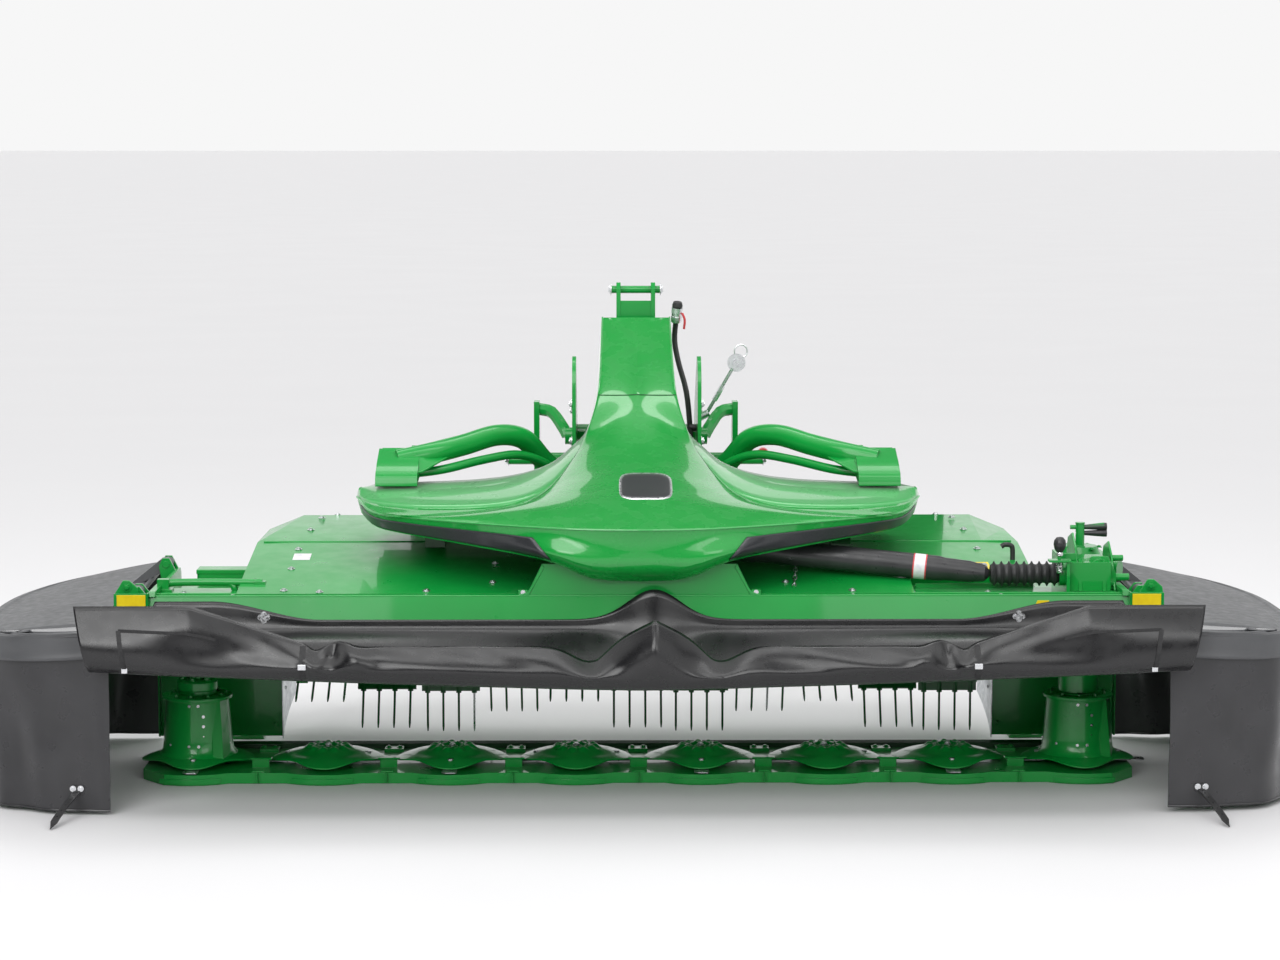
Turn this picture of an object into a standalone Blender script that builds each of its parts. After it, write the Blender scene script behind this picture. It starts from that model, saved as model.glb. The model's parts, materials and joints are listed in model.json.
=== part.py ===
"""Front-mounted disc mower with a tine conditioner, parked on its cutter bar and rear stands.

Metres, +X to the right seen from the front, +Y back towards the tractor, +Z up.
The origin is on the floor under the line of the disc spindles, at the middle of the cutter bar.
"""

import math

import bmesh
import bpy
from mathutils import Matrix, Vector
from mathutils.bvhtree import BVHTree

# ---- Driving dimensions, in metres --------------------------------------------------------------
GAP = 0.0003  # left between touching solids

BAR_HALF = 1.495  # half length of the cutter bar
BAR_FRONT = -0.200
BAR_REAR = 0.262
BAR_TOP = 0.032
DISC_PITCH = 0.378
END_DISC_PITCH = 0.396
DISC_RADIUS = 0.168
DISC_RIM_Z = 0.0440
DISC_HUB_Z = 0.078
KNIFE_TIP = 0.205
KNIFE_THICK = 0.004
KNIFE_GAP = 0.0053  # knife above the bar

DRUM_BASE_RADIUS = 0.110
DRUM_TOP_RADIUS = 0.094
DRUM_TOP_Z = 0.245
COLLAR_RADIUS = 0.062
COLLAR_TOP_Z = 0.290
SHAFT_RADIUS = 0.023

DECK_HALF = 1.420
DECK_FRONT = -0.430
DECK_DEPTH = 0.180
DECK_TOP = 0.605
DECK_BOTTOM = 0.490
DECK_WALL = 0.006
BEAM_LEAN = 0.028  # how far the front face leans out at its foot
HINGE_X = 1.460
HINGE_Z = 0.612
HINGE_PIN_RADIUS = 0.010
HINGE_CLEARANCE = 0.0003
FRONT_LUG_Y = -0.375  # middles of the two guard lugs on each side
REAR_LUG_Y = 0.240
LUG_HALF = 0.025
LUG_ROOM = LUG_HALF + 0.0053  # from a lug's middle to the middle of an ear
END_PLATE_X = 1.4250  # inner face of the plates that carry the bar ends
END_PLATE_THICK = 0.012
COVER_Z = 0.528
COVER_THICK = 0.005
BAFFLE_IN = 1.115
BAFFLE_OUT = 1.500
BAFFLE_Y = 0.2963
BAFFLE_THICK = 0.006
GUIDE_THICK = 0.003
GUIDE_TOP = 0.270

HOOD_HALF = 1.170
HOOD_FULL_HALF = 1.060
HOOD_WALL = 0.005
HOOD_SKIRT_Z = 0.550
HOOD_PEAK_Z = 0.730
SIDE_WALL_THICK = 0.011
SIDE_WALL_LOW = 0.140

ROTOR_Y = 0.400
ROTOR_Z = 0.330
ROTOR_TUBE_RADIUS = 0.100
ROTOR_TUBE_HALF = 1.079
ROTOR_WALL = 0.006
ROTOR_STUB_RADIUS = 0.030
ROTOR_BORE_RADIUS = 0.012
TINE_BAR_RADIUS = 0.150
TINE_TIP_RADIUS = 0.280
TINE_WIDTH = 0.009
TINE_PITCH = 0.0493
TINE_GROUPS = 11
TINES_PER_GROUP = 4
GROUP_PITCH = 0.197
GROUP_TURN = math.radians(30)
CLUSTERS = 3

SWATH_PIVOT_Y = 0.740
SWATH_PIVOT_X = 1.095
SWATH_LENGTH = 0.400
SWATH_LOW = 0.160
SWATH_HIGH = 0.480
SWATH_ANGLE = math.radians(12)

STAND_X = 1.262
STAND_PIVOT_Y = 0.620
STAND_PIVOT_Z = 0.420
STAND_TUBE = 0.045
STAND_FOOT = 0.120

GUARD_OUT = 0.495  # from the hinge line to the guard's outermost edge
GUARD_IN = 0.045  # from the hinge line to the guard's inner edge
GUARD_FRONT = -0.600
GUARD_REAR = 0.560
GUARD_RIM_Z = 0.505
GUARD_RIM_HEIGHT = 0.070
GUARD_WALL = 0.006
GUARD_POINTS = 18
GUARD_SQUARE = 2 / 3.2  # 1 would be an ellipse; less is squarer
CURTAIN_THICK = 0.005
CURTAIN_LOW = 0.012
STRAP_OUT = 0.150
STRAP_WIDTH = 0.032

FRONT_CURTAIN_HALF = 1.600
APRON_HALF = 1.405
FRONT_CURTAIN_THICK = 0.006
CURTAIN_OFF = FRONT_CURTAIN_THICK / 2 + 0.0008  # from the beam's face to the sheet's middle

BEAM_HALF = 0.800
BEAM_FRONT = 0.060
BEAM_REAR = 0.200
BEAM_LOW = 0.760
BEAM_HIGH = 0.822
ARCH_HALF = 0.100  # half width and top of the way through the beam for the tractor's shaft
ARCH_Z = 0.862

COWL_WALL = 0.006
LINK_X = 0.620
PAD_Y = 0.120
PAD_RADIUS = 0.010
HEADSTOCK_HALF = 0.206  # outer faces of the two headstock plates
HEADSTOCK_THICK = 0.012
ARM_RADIUS = 0.032
LINK_PLATE_X = 0.318  # inner faces of the lower-link plates
LINK_PLATE_THICK = 0.018
LINK_PIN_Z = 0.860
LINK_PIN_Y = 0.930
LINK_PIN_RADIUS = 0.014
LINK_PIN_LENGTH = 0.085
TOP_LINK_Z = 1.425
TOP_LINK_Y = 0.960
TOP_LINK_EAR_X = 0.050  # inner faces of the top-link ears

SHAFT_GUARD_RADIUS = 0.037
PEDESTAL_SEAT = 0.668  # sheet that carries the centre gearbox
PEDESTAL_FRONT_TOP = 0.700
GEARBOX_OUT_X = 0.168
INPUT_Z = 0.742
TILT_ROOM = 0.0026  # keeps the slanted shaft guard clear of square-cut ends
SHAFT_START = Vector((GEARBOX_OUT_X + TILT_ROOM, -0.165, 0.726))
SHAFT_END = Vector((1.030, -0.300, 0.652))
BELLOWS_LENGTH = 0.200
HOSE_RADIUS = 0.009
BELLOWS_RIBS = 9
BELLOWS_OFF = 0.0018  # from the shaft guard's slanted end


# ---- Scene, materials and basic shapes ----------------------------------------------------------
def clear_scene():
    for obj in list(bpy.data.objects):
        bpy.data.objects.remove(obj, do_unlink=True)


def new_collection(name, helper=False):
    made = bpy.data.collections.new(name)
    bpy.context.scene.collection.children.link(made)
    made.hide_render = helper
    return made


def new_material(name, colour, roughness, metallic=0.0):
    made = bpy.data.materials.new(name)
    made.use_nodes = True
    shader = made.node_tree.nodes["Principled BSDF"]
    shader.inputs["Base Color"].default_value = (*colour, 1.0)
    shader.inputs["Roughness"].default_value = roughness
    shader.inputs["Metallic"].default_value = metallic
    return made


clear_scene()
MOWER = new_collection("front_disc_mower")
CUTTERS = new_collection("cutters", helper=True)
GREEN = new_material("green_paint", (0.012, 0.235, 0.045), 0.28)
DARK_GREEN = new_material("dark_green_paint", (0.008, 0.110, 0.028), 0.40)
STEEL = new_material("bare_steel", (0.560, 0.560, 0.580), 0.35, 1.0)
GALVANISED = new_material("galvanised_sheet", (0.620, 0.640, 0.660), 0.45, 0.8)
BLACK_PLASTIC = new_material("black_plastic", (0.022, 0.022, 0.024), 0.50)
GREY_PLASTIC = new_material("grey_plastic", (0.085, 0.085, 0.090), 0.45)
CANVAS = new_material("coated_canvas", (0.018, 0.018, 0.020), 0.42)
RUBBER = new_material("black_rubber", (0.020, 0.020, 0.020), 0.70)


def finish(obj, name, material, collection=None):
    """Names an object, gives it its material and puts it in its collection."""
    obj.name = name
    obj.data.name = name
    obj.data.materials.clear()
    obj.data.materials.append(material)
    for holder in list(obj.users_collection):
        holder.objects.unlink(obj)
    (collection or MOWER).objects.link(obj)
    return obj


def mesh_object(name, form, material, matrix=None):
    """An object from a bmesh, with coincident points joined and its faces turned outwards."""
    bmesh.ops.remove_doubles(form, verts=form.verts, dist=1e-6)
    bmesh.ops.recalc_face_normals(form, faces=form.faces)
    data = bpy.data.meshes.new(name)
    form.to_mesh(data)
    form.free()
    if matrix is not None:
        data.transform(matrix)
    obj = bpy.data.objects.new(name, data)
    return finish(obj, name, material)


def box(name, low, high, material):
    """A rectangular block between two corners."""
    low, high = Vector(low), Vector(high)
    form = bmesh.new()
    bmesh.ops.create_cube(form, size=1.0)
    size = high - low
    for vert in form.verts:
        vert.co = Vector(a * b for a, b in zip(vert.co, size)) + (low + high) / 2
    return mesh_object(name, form, material)


def turn_to(direction):
    """The rotation that takes +Z to a direction."""
    return Vector(direction).to_track_quat("Z", "Y").to_matrix().to_4x4()


def rod(name, start, end, radius, material, sides=16, end_radius=None):
    """A cylinder or cone between two points."""
    start, end = Vector(start), Vector(end)
    form = bmesh.new()
    bmesh.ops.create_cone(
        form,
        cap_ends=True,
        segments=sides,
        radius1=radius,
        radius2=radius if end_radius is None else end_radius,
        depth=(end - start).length,
    )
    place = Matrix.Translation((start + end) / 2) @ turn_to(end - start)
    return mesh_object(name, form, material, place)


def realise(obj):
    """A mesh object made from a curve or from live modifiers, in the same place."""
    bpy.context.view_layer.update()
    graph = bpy.context.evaluated_depsgraph_get()
    data = bpy.data.meshes.new_from_object(obj.evaluated_get(graph))
    form = bmesh.new()
    form.from_mesh(data)
    bmesh.ops.remove_doubles(form, verts=form.verts, dist=1e-6)
    bmesh.ops.recalc_face_normals(form, faces=form.faces)
    form.to_mesh(data)
    form.free()
    data.transform(obj.matrix_world)
    name, material = obj.name, obj.data.materials[0]
    bpy.data.objects.remove(obj, do_unlink=True)
    return finish(bpy.data.objects.new(name, data), name, material)


AXIS_TURN = {
    # A flat outline's (a, b) lies on (Y, Z), (X, Z) or (X, Y), and it is extruded along the axis.
    "X": Matrix(((0, 0, 1), (1, 0, 0), (0, 1, 0))).to_4x4(),
    "Y": Matrix(((1, 0, 0), (0, 0, -1), (0, 1, 0))).to_4x4(),
    "Z": Matrix.Identity(4),
}


def prism(name, outline, axis, start, end, material, holes=()):
    """A flat outline, with round holes (a, b, radius), extruded along an axis from start to end."""
    curve = bpy.data.curves.new(name, "CURVE")
    curve.dimensions = "2D"
    curve.fill_mode = "BOTH"
    curve.extrude = abs(end - start) / 2
    rings = [outline]
    for a, b, radius in holes:
        rings.append(arc(a, b, radius, 0.0, 2 * math.pi, 24)[:-1])
    for ring in rings:
        spline = curve.splines.new("POLY")
        spline.points.add(len(ring) - 1)
        for point, (a, b) in zip(spline.points, ring):
            point.co = (a, b, 0.0, 1.0)
        spline.use_cyclic_u = True
    curve.materials.append(material)
    obj = bpy.data.objects.new(name, curve)
    MOWER.objects.link(obj)
    middle = (start + end) / 2
    # Along Y the outline's own +Z looks to -Y.
    shift = {"X": (middle, 0, 0), "Y": (0, middle, 0), "Z": (0, 0, middle)}[axis]
    obj.matrix_world = Matrix.Translation(shift) @ AXIS_TURN[axis]
    return realise(obj)


def arc(a, b, radius, start, end, steps):
    """Points of an arc about (a, b)."""
    return [
        (
            a + radius * math.cos(start + (end - start) * i / steps),
            b + radius * math.sin(start + (end - start) * i / steps),
        )
        for i in range(steps + 1)
    ]


def smooth(points, steps):
    """A smooth path (Catmull-Rom) through the given points."""
    points = [Vector(p) for p in points]
    ends = [2 * points[0] - points[1], *points, 2 * points[-1] - points[-2]]
    path = []
    for i in range(len(points) - 1):
        p0, p1, p2, p3 = ends[i : i + 4]
        for k in range(steps):
            t = k / steps
            path.append(
                0.5
                * (
                    2 * p1
                    + (p2 - p0) * t
                    + (2 * p0 - 5 * p1 + 4 * p2 - p3) * t**2
                    + (3 * p1 - p0 - 3 * p2 + p3) * t**3
                )
            )
    return [*path, points[-1]]


def tube(name, path, radius, material, resolution=2):
    """A bent bar or pipe along a path of points."""
    curve = bpy.data.curves.new(name, "CURVE")
    curve.dimensions = "3D"
    curve.bevel_depth = radius
    curve.bevel_resolution = resolution
    curve.use_fill_caps = True
    spline = curve.splines.new("POLY")
    spline.points.add(len(path) - 1)
    for point, place in zip(spline.points, path):
        point.co = (*place, 1.0)
    curve.materials.append(material)
    obj = bpy.data.objects.new(name, curve)
    MOWER.objects.link(obj)
    return realise(obj)


def turned(name, profile, centre, axis, material, steps=24):
    """A turned piece: profile of (radius, height) from top to bottom of its outer side."""
    data = bpy.data.meshes.new(name)
    verts = [(r, 0.0, h) for r, h in profile]
    data.from_pydata(verts, [(i, i + 1) for i in range(len(verts) - 1)], [])
    data.materials.append(material)
    obj = bpy.data.objects.new(name, data)
    MOWER.objects.link(obj)
    screw = obj.modifiers.new("turn", "SCREW")
    screw.steps = steps
    screw.render_steps = steps
    screw.use_merge_vertices = True
    screw.merge_threshold = 1e-5
    obj.matrix_world = Matrix.Translation(centre) @ turn_to(axis)
    return realise(obj)


def combine(target, pieces, operation="UNION", solver="EXACT"):
    """Adds pieces to a solid, or takes them away from it."""
    for piece in pieces:
        for holder in list(piece.users_collection):
            holder.objects.unlink(piece)
        CUTTERS.objects.link(piece)
        piece.hide_render = True
        piece.display_type = "WIRE"
        change = target.modifiers.new(piece.name, "BOOLEAN")
        change.operation = operation
        change.solver = solver
        change.object = piece
    return target


def carve(target, pieces):
    return combine(target, pieces, "DIFFERENCE")


def face_away(obj, centre):
    """Turns an open surface's faces away from a point inside it, ready for its wall thickness."""
    form = bmesh.new()
    form.from_mesh(obj.data)
    centre = Vector(centre)
    outward = sum(face.normal.dot(face.calc_center_median() - centre) * face.calc_area()
                  for face in form.faces)
    if outward < 0:
        bmesh.ops.reverse_faces(form, faces=form.faces)
    form.to_mesh(obj.data)
    form.free()


def thicken(obj, thickness, offset=-1.0):
    """Gives an open surface its wall thickness; -1 keeps the outer face in place."""
    wall = obj.modifiers.new("wall", "SOLIDIFY")
    wall.thickness = thickness
    wall.offset = offset
    wall.use_even_offset = True
    return realise(obj)


def set_pivot(obj, pivot):
    """Moves an object's own origin onto its joint axis, leaving its shape in place."""
    obj.data.transform(Matrix.Translation(-Vector(pivot)))
    obj.location = pivot


def hinge_ears(tag, side, root_x, low, ys):
    """Two ears on a frame plate with a hinge pin through them, for a side guard's lug."""
    pieces = []
    for place, y in enumerate(ys):
        ear = [(side * root_x, low), (side * (HINGE_X + 0.012), low + 0.020),
               (side * (HINGE_X + 0.022), HINGE_Z - 0.004),
               (side * (HINGE_X + 0.010), HINGE_Z + 0.020),
               (side * (HINGE_X - 0.010), HINGE_Z + 0.020), (side * root_x, low + 0.060)]
        pieces.append(prism(f"ear_{tag}_{place}", ear, "Y", y - 0.005, y + 0.005, GREEN))
    pieces.append(rod(f"hinge_pin_{tag}", (side * HINGE_X, ys[0] - 0.008, HINGE_Z),
                      (side * HINGE_X, ys[1] + 0.008, HINGE_Z), HINGE_PIN_RADIUS, STEEL, 20))
    return pieces


# ---- Cutter bar and discs -----------------------------------------------------------------------
def disc_positions():
    inner = [DISC_PITCH * (i - 2.5) for i in range(6)]
    return [inner[0] - END_DISC_PITCH, *inner, inner[-1] + END_DISC_PITCH]


def build_cutter_bar():
    """A flat gear housing: a round lobe in front of each disc and chamfered end corners."""
    lobe = -BAR_FRONT
    valley = BAR_FRONT + 0.035
    front = [(-BAR_HALF, 0.02), (-BAR_HALF, BAR_FRONT + 0.105)]
    for x in disc_positions():
        reach = math.acos(-valley / lobe)
        down = -math.pi / 2
        front += arc(x, 0.0, lobe, down - reach, down + reach, 6)
    front[2] = (-BAR_HALF + 0.075, BAR_FRONT + 0.012)
    front[-1] = (BAR_HALF - 0.075, BAR_FRONT + 0.012)
    back = [
        (BAR_HALF, BAR_FRONT + 0.105),
        (BAR_HALF, 0.02),
        (BAR_HALF - 0.035, BAR_REAR),
        (-BAR_HALF + 0.035, BAR_REAR),
    ]
    return prism("cutter_bar", front + back, "Z", 0.0, BAR_TOP, GREEN)


def build_disc(number, x, turn):
    """A dished plate with four blunt corners, a raised hub cup and two knives under it."""
    form = bmesh.new()
    rim, shoulder = [], []
    for i in range(16):
        angle = 2 * math.pi * i / 16
        corner = abs(((i / 4 + 0.5) % 1.0) - 0.5) * 2
        reach = DISC_RADIUS * (1.0 - 0.17 * corner)
        rim.append((reach * math.cos(angle), reach * math.sin(angle)))
        shoulder.append((0.072 * math.cos(angle), 0.072 * math.sin(angle)))
    layers = (
        [(x * 0.45, y * 0.45, DISC_RIM_Z) for x, y in shoulder],
        [(*point, DISC_RIM_Z) for point in rim],
        [(*point, DISC_RIM_Z + 0.005) for point in rim],
        [(*point, DISC_HUB_Z - 0.012) for point in shoulder],
    )
    rings = [[form.verts.new(point) for point in layer] for layer in layers]
    for low, high in zip(rings, rings[1:]):
        for i in range(16):
            k = (i + 1) % 16
            form.faces.new((low[i], low[k], high[k], high[i]))
    form.faces.new(rings[0])
    form.faces.new(rings[-1])
    plate = mesh_object(f"disc_{number}", form, GREEN)
    cup = rod(f"disc_{number}_cup", (0, 0, DISC_HUB_Z - 0.014), (0, 0, DISC_HUB_Z), 0.052,
              GREEN, 16, 0.040)
    seat = rod(f"disc_{number}_seat", (0, 0, BAR_TOP + GAP), (0, 0, DISC_RIM_Z + 0.002), 0.048,
               GREEN, 16)
    added = [cup, seat]
    knife_low = BAR_TOP + KNIFE_GAP
    for side in (0, 1):
        angle = turn + side * math.pi
        blade = prism(
            f"disc_{number}_knife_{side}",
            [(0.105, -0.022), (KNIFE_TIP - 0.012, -0.024), (KNIFE_TIP, -0.010),
             (KNIFE_TIP, 0.018), (0.105, 0.022)],
            "Z", knife_low, knife_low + KNIFE_THICK, STEEL,
        )
        blade.data.transform(Matrix.Rotation(angle, 4, "Z"))
        bolt = rod(f"disc_{number}_bolt_{side}", (0.122, 0, knife_low + 0.001),
                   (0.122, 0, DISC_RIM_Z + 0.003), 0.013, STEEL, 8)
        bolt.data.transform(Matrix.Rotation(angle, 4, "Z"))
        added += [blade, bolt]
    for piece in added:
        piece.location = (x, 0, 0)
    combine(plate, added)
    plate.location = (x, 0, 0)
    return plate


def build_drum(name, x, side):
    """The tapered drum on an end disc, with its flange, collar, shaft and one wedge rib."""
    plate_top = DISC_HUB_Z + GAP
    body = turned(
        name,
        [(0.0, DRUM_TOP_Z), (DRUM_TOP_RADIUS + 0.012, DRUM_TOP_Z),
         (DRUM_TOP_RADIUS + 0.012, DRUM_TOP_Z - 0.012), (DRUM_TOP_RADIUS, DRUM_TOP_Z - 0.012),
         (DRUM_BASE_RADIUS, plate_top), (0.0, plate_top)],
        (x, 0, 0), (0, 0, 1), GREEN, 24,
    )
    collar_radius = COLLAR_RADIUS if side < 0 else SHAFT_RADIUS
    collar = rod(name + "_collar", (x, 0, DRUM_TOP_Z - 0.002), (x, 0, COLLAR_TOP_Z),
                 collar_radius, GREEN, 20)
    shaft = rod(name + "_shaft", (x, 0, COLLAR_TOP_Z - 0.002), (x, 0, 0.500), SHAFT_RADIUS,
                STEEL, 16)
    rib = box(name + "_rib", (x + 0.070, -0.106, plate_top), (x + 0.082, -0.040, DRUM_TOP_Z - 0.006),
              GREEN)
    return combine(body, [collar, shaft, rib])


# ---- Frame: front beam, end plates, covers, baffles ----------------------------------------------
def beam_face(z):
    """Where the front beam's leaning face lies at a height."""
    return DECK_FRONT - BEAM_LEAN * (DECK_TOP - z) / (DECK_TOP - DECK_BOTTOM)


def build_deck_beam():
    """The front beam: a folded channel, open below, with hinge ears at both ends and a hand rail."""
    rear = DECK_FRONT + DECK_DEPTH
    outline = [(DECK_FRONT - BEAM_LEAN, DECK_BOTTOM), (DECK_FRONT, DECK_TOP), (rear, DECK_TOP),
               (rear, DECK_BOTTOM)]
    wall = DECK_WALL
    inside = [(beam_face(DECK_BOTTOM - wall) + wall, DECK_BOTTOM - wall),
              (beam_face(DECK_TOP - wall) + wall, DECK_TOP - wall),
              (rear - wall, DECK_TOP - wall), (rear - wall, DECK_BOTTOM - wall)]
    beam = prism("deck_beam", outline, "X", -DECK_HALF, DECK_HALF, GREEN)
    end_wall = 0.008
    hollow = prism("beam_hollow", inside, "X", -DECK_HALF + end_wall, DECK_HALF - end_wall, GREEN)
    carve(beam, [hollow])
    added = []
    for side in (-1, 1):
        tag = "right" if side > 0 else "left"
        ys = (FRONT_LUG_Y - LUG_ROOM, FRONT_LUG_Y + LUG_ROOM)
        added += hinge_ears(f"front_{tag}", side, DECK_HALF - 0.004, DECK_TOP - 0.075, ys)
    rail = tube("hand_rail", smooth([(-1.400, -0.300, DECK_TOP - 0.002), (-1.385, -0.300, 0.624),
                                     (-1.350, -0.300, 0.628), (-1.220, -0.300, 0.628),
                                     (-1.195, -0.300, 0.622), (-1.185, -0.300, DECK_TOP - 0.002)],
                                    3), 0.010, GREEN)
    return combine(beam, [*added, rail], solver="MANIFOLD")


def build_end_plate(tag, side):
    """The plate that joins one end of the deck to one end of the cutter bar."""
    inner = side * END_PLATE_X
    outer = side * (END_PLATE_X + END_PLATE_THICK)
    outline = [
        (DECK_FRONT + DECK_DEPTH - 0.060, DECK_TOP - 0.012),
        (DECK_FRONT + DECK_DEPTH - 0.060, DECK_BOTTOM + 0.005),
        (0.060, 0.430),
        (0.215, 0.260),
        (0.215, BAR_TOP + GAP),
        (BAR_REAR, BAR_TOP + GAP),
        (0.296, 0.180),
        (0.296, DECK_TOP - 0.030),
        (0.280, DECK_TOP - 0.012),
    ]
    plate = prism(f"end_plate_{tag}", outline, "X", inner, outer, GREEN)
    boss = rod(f"end_boss_{tag}", (side * (END_PLATE_X + 0.004), 0.238, 0.105),
               (side * (END_PLATE_X + 0.040), 0.238, 0.105), 0.024, GREEN, 12)
    ys = (REAR_LUG_Y - LUG_ROOM, REAR_LUG_Y + LUG_ROOM)
    ears = hinge_ears(f"rear_{tag}", side, END_PLATE_X + 0.004, DECK_TOP - 0.075, ys)
    return combine(plate, [boss, *ears])


def build_end_cover(tag, side):
    """The sheet over an end drum, from the front beam back to the baffle, with its shaft bearing."""
    rear = DECK_FRONT + DECK_DEPTH
    inner = HOOD_HALF - HOOD_WALL - SIDE_WALL_THICK
    outer = END_PLATE_X
    x = side * disc_positions()[-1]
    low, high = sorted((side * (inner - 0.030), side * (outer - GAP)))
    sheet = box(f"end_cover_{tag}", (low, rear + GAP, COVER_Z), (high, 0.296, COVER_Z + COVER_THICK),
                GREEN)
    if side < 0:
        bearing_low, bearing_radius = 0.455, 0.050
    else:
        bearing_low, bearing_radius = DRUM_TOP_Z + 0.006, 0.061
    bearing = rod(f"bearing_{tag}", (x, 0, bearing_low), (x, 0, COVER_Z + 0.002), bearing_radius,
                  GREEN, 20)
    combine(sheet, [bearing])
    bore = rod(f"bore_{tag}", (x, 0, bearing_low - 0.01), (x, 0, 0.506), SHAFT_RADIUS + 0.006,
               GREEN, 20)
    return carve(sheet, [bore])


def build_baffle(tag, side):
    """The upright sheet behind an end drum that turns the crop in towards the conditioner."""
    low, high = sorted((side * BAFFLE_IN, side * BAFFLE_OUT))
    outline = [(low, 0.056), (high, 0.056), (high, 0.500), (low, 0.500)]
    return prism(f"baffle_{tag}", outline, "Y", BAFFLE_Y, BAFFLE_Y + BAFFLE_THICK, GREEN)


def build_crop_guide(tag, side):
    """A bright sheet skirt with a pointed toe, curved in from the baffle's inner edge."""
    form = bmesh.new()
    rows = 6
    grid = []
    start = BAFFLE_IN - GAP - GUIDE_THICK / 2
    for i in range(rows + 1):
        t = i / rows
        y = 0.285 + 0.215 * t
        x = side * (start - 0.020 * max(0.0, (y - 0.306) / 0.194) ** 1.5)
        grid.append([form.verts.new((x, y, 0.050 + 0.110 * t**0.8)),
                     form.verts.new((x, y, GUIDE_TOP))])
    for a, b in zip(grid, grid[1:]):
        form.faces.new((a[0], b[0], b[1], a[1]))
    skirt = mesh_object(f"crop_guide_{tag}", form, GALVANISED)
    skirt = thicken(skirt, GUIDE_THICK, 0.0)
    wall_face = HOOD_HALF - HOOD_WALL - GAP - SIDE_WALL_THICK - GAP
    low, high = sorted((side * (start - 0.012), side * wall_face))
    stay = box(f"guide_stay_{tag}", (low, 0.440, GUIDE_TOP - 0.060), (high, 0.446, GUIDE_TOP - 0.020),
               GALVANISED)
    return combine(skirt, [stay])


# ---- Conditioner --------------------------------------------------------------------------------
HOOD_PROFILE = ((-0.410, 0.6110), (-0.240, 0.6370), (-0.205, 0.6425), (0.150, 0.6900),
                (0.500, HOOD_PEAK_Z), (0.680, 0.700), (0.800, 0.620), (0.860, 0.480))
HOOD_END_Z = (0.6110, 0.6370, 0.6425, 0.6880, 0.6850, 0.655, 0.590, 0.480)
RECESS_X = 0.800  # right of here the hood stops short, to leave room for the drive
RECESS_Y = -0.190


def build_hood():
    """The conditioner hood: a folded sheet with chamfered upper corners and short side skirts."""
    form = bmesh.new()
    stations = []
    skirt = []
    for (y, _), z in zip(HOOD_PROFILE, HOOD_END_Z):
        low = HOOD_SKIRT_Z if y > -0.220 else DECK_TOP + 0.002
        skirt.append(min(low, z - 0.010) if y > -0.220 else low)
    for x, heights in (
        (HOOD_HALF, skirt),
        (HOOD_HALF, HOOD_END_Z),
        (HOOD_FULL_HALF, [z for _, z in HOOD_PROFILE]),
    ):
        stations.append((-x, heights))
    stations += [(-x, heights) for x, heights in reversed(stations)]
    rows = [[form.verts.new((x, y, z)) for (y, _), z in zip(HOOD_PROFILE, heights)]
            for x, heights in stations]
    for a, b in zip(rows, rows[1:]):
        for i in range(len(a) - 1):
            form.faces.new((a[i], b[i], b[i + 1], a[i + 1]))
    hood = mesh_object("conditioner_hood", form, GREEN)
    face_away(hood, (0, 0.2, 0.3))
    wall = hood.modifiers.new("wall", "SOLIDIFY")
    wall.thickness = HOOD_WALL
    wall.offset = -1.0
    wall.use_even_offset = True
    hood = realise(hood)
    recess = box("hood_recess", (RECESS_X, -0.6, 0.5), (1.3, RECESS_Y, 0.8), GREEN)
    return carve(hood, [recess])


def build_side_wall(tag, side):
    """A conditioner side wall, with the lugs of the swath plate and the stand's bracket."""
    outer = HOOD_HALF - HOOD_WALL - GAP
    inner = outer - SIDE_WALL_THICK
    outline = [
        (BAFFLE_Y + BAFFLE_THICK + GAP, SIDE_WALL_LOW), (0.860, SIDE_WALL_LOW), (0.840, 0.470), (0.780, 0.580), (0.660, 0.636),
        (0.500, 0.664), (0.150, 0.668), (-0.180, 0.622), (-0.180, COVER_Z + COVER_THICK + GAP),
        (BAFFLE_Y + BAFFLE_THICK + GAP, COVER_Z + COVER_THICK + GAP),
    ]
    wall = prism(f"side_wall_{tag}", outline, "X", side * inner, side * outer, GREEN)
    added = []
    for place, (low, high) in enumerate(((SWATH_LOW - 0.012, SWATH_LOW - GAP),
                                         (SWATH_HIGH + GAP, SWATH_HIGH + 0.012))):
        a, b = sorted((side * (SWATH_PIVOT_X - 0.018), side * (inner + 0.002)))
        added.append(box(f"lug_{tag}_{place}", (a, SWATH_PIVOT_Y - 0.018, low),
                         (b, SWATH_PIVOT_Y + 0.018, high), GREEN))
    a, b = sorted((side * (outer - 0.002), side * (STAND_X - STAND_TUBE / 2 - GAP)))
    added.append(box(f"stand_bracket_{tag}", (a, STAND_PIVOT_Y - 0.035, STAND_PIVOT_Z - 0.035),
                     (b, STAND_PIVOT_Y + 0.035, STAND_PIVOT_Z + 0.035), GREEN))
    return combine(wall, added)


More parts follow.
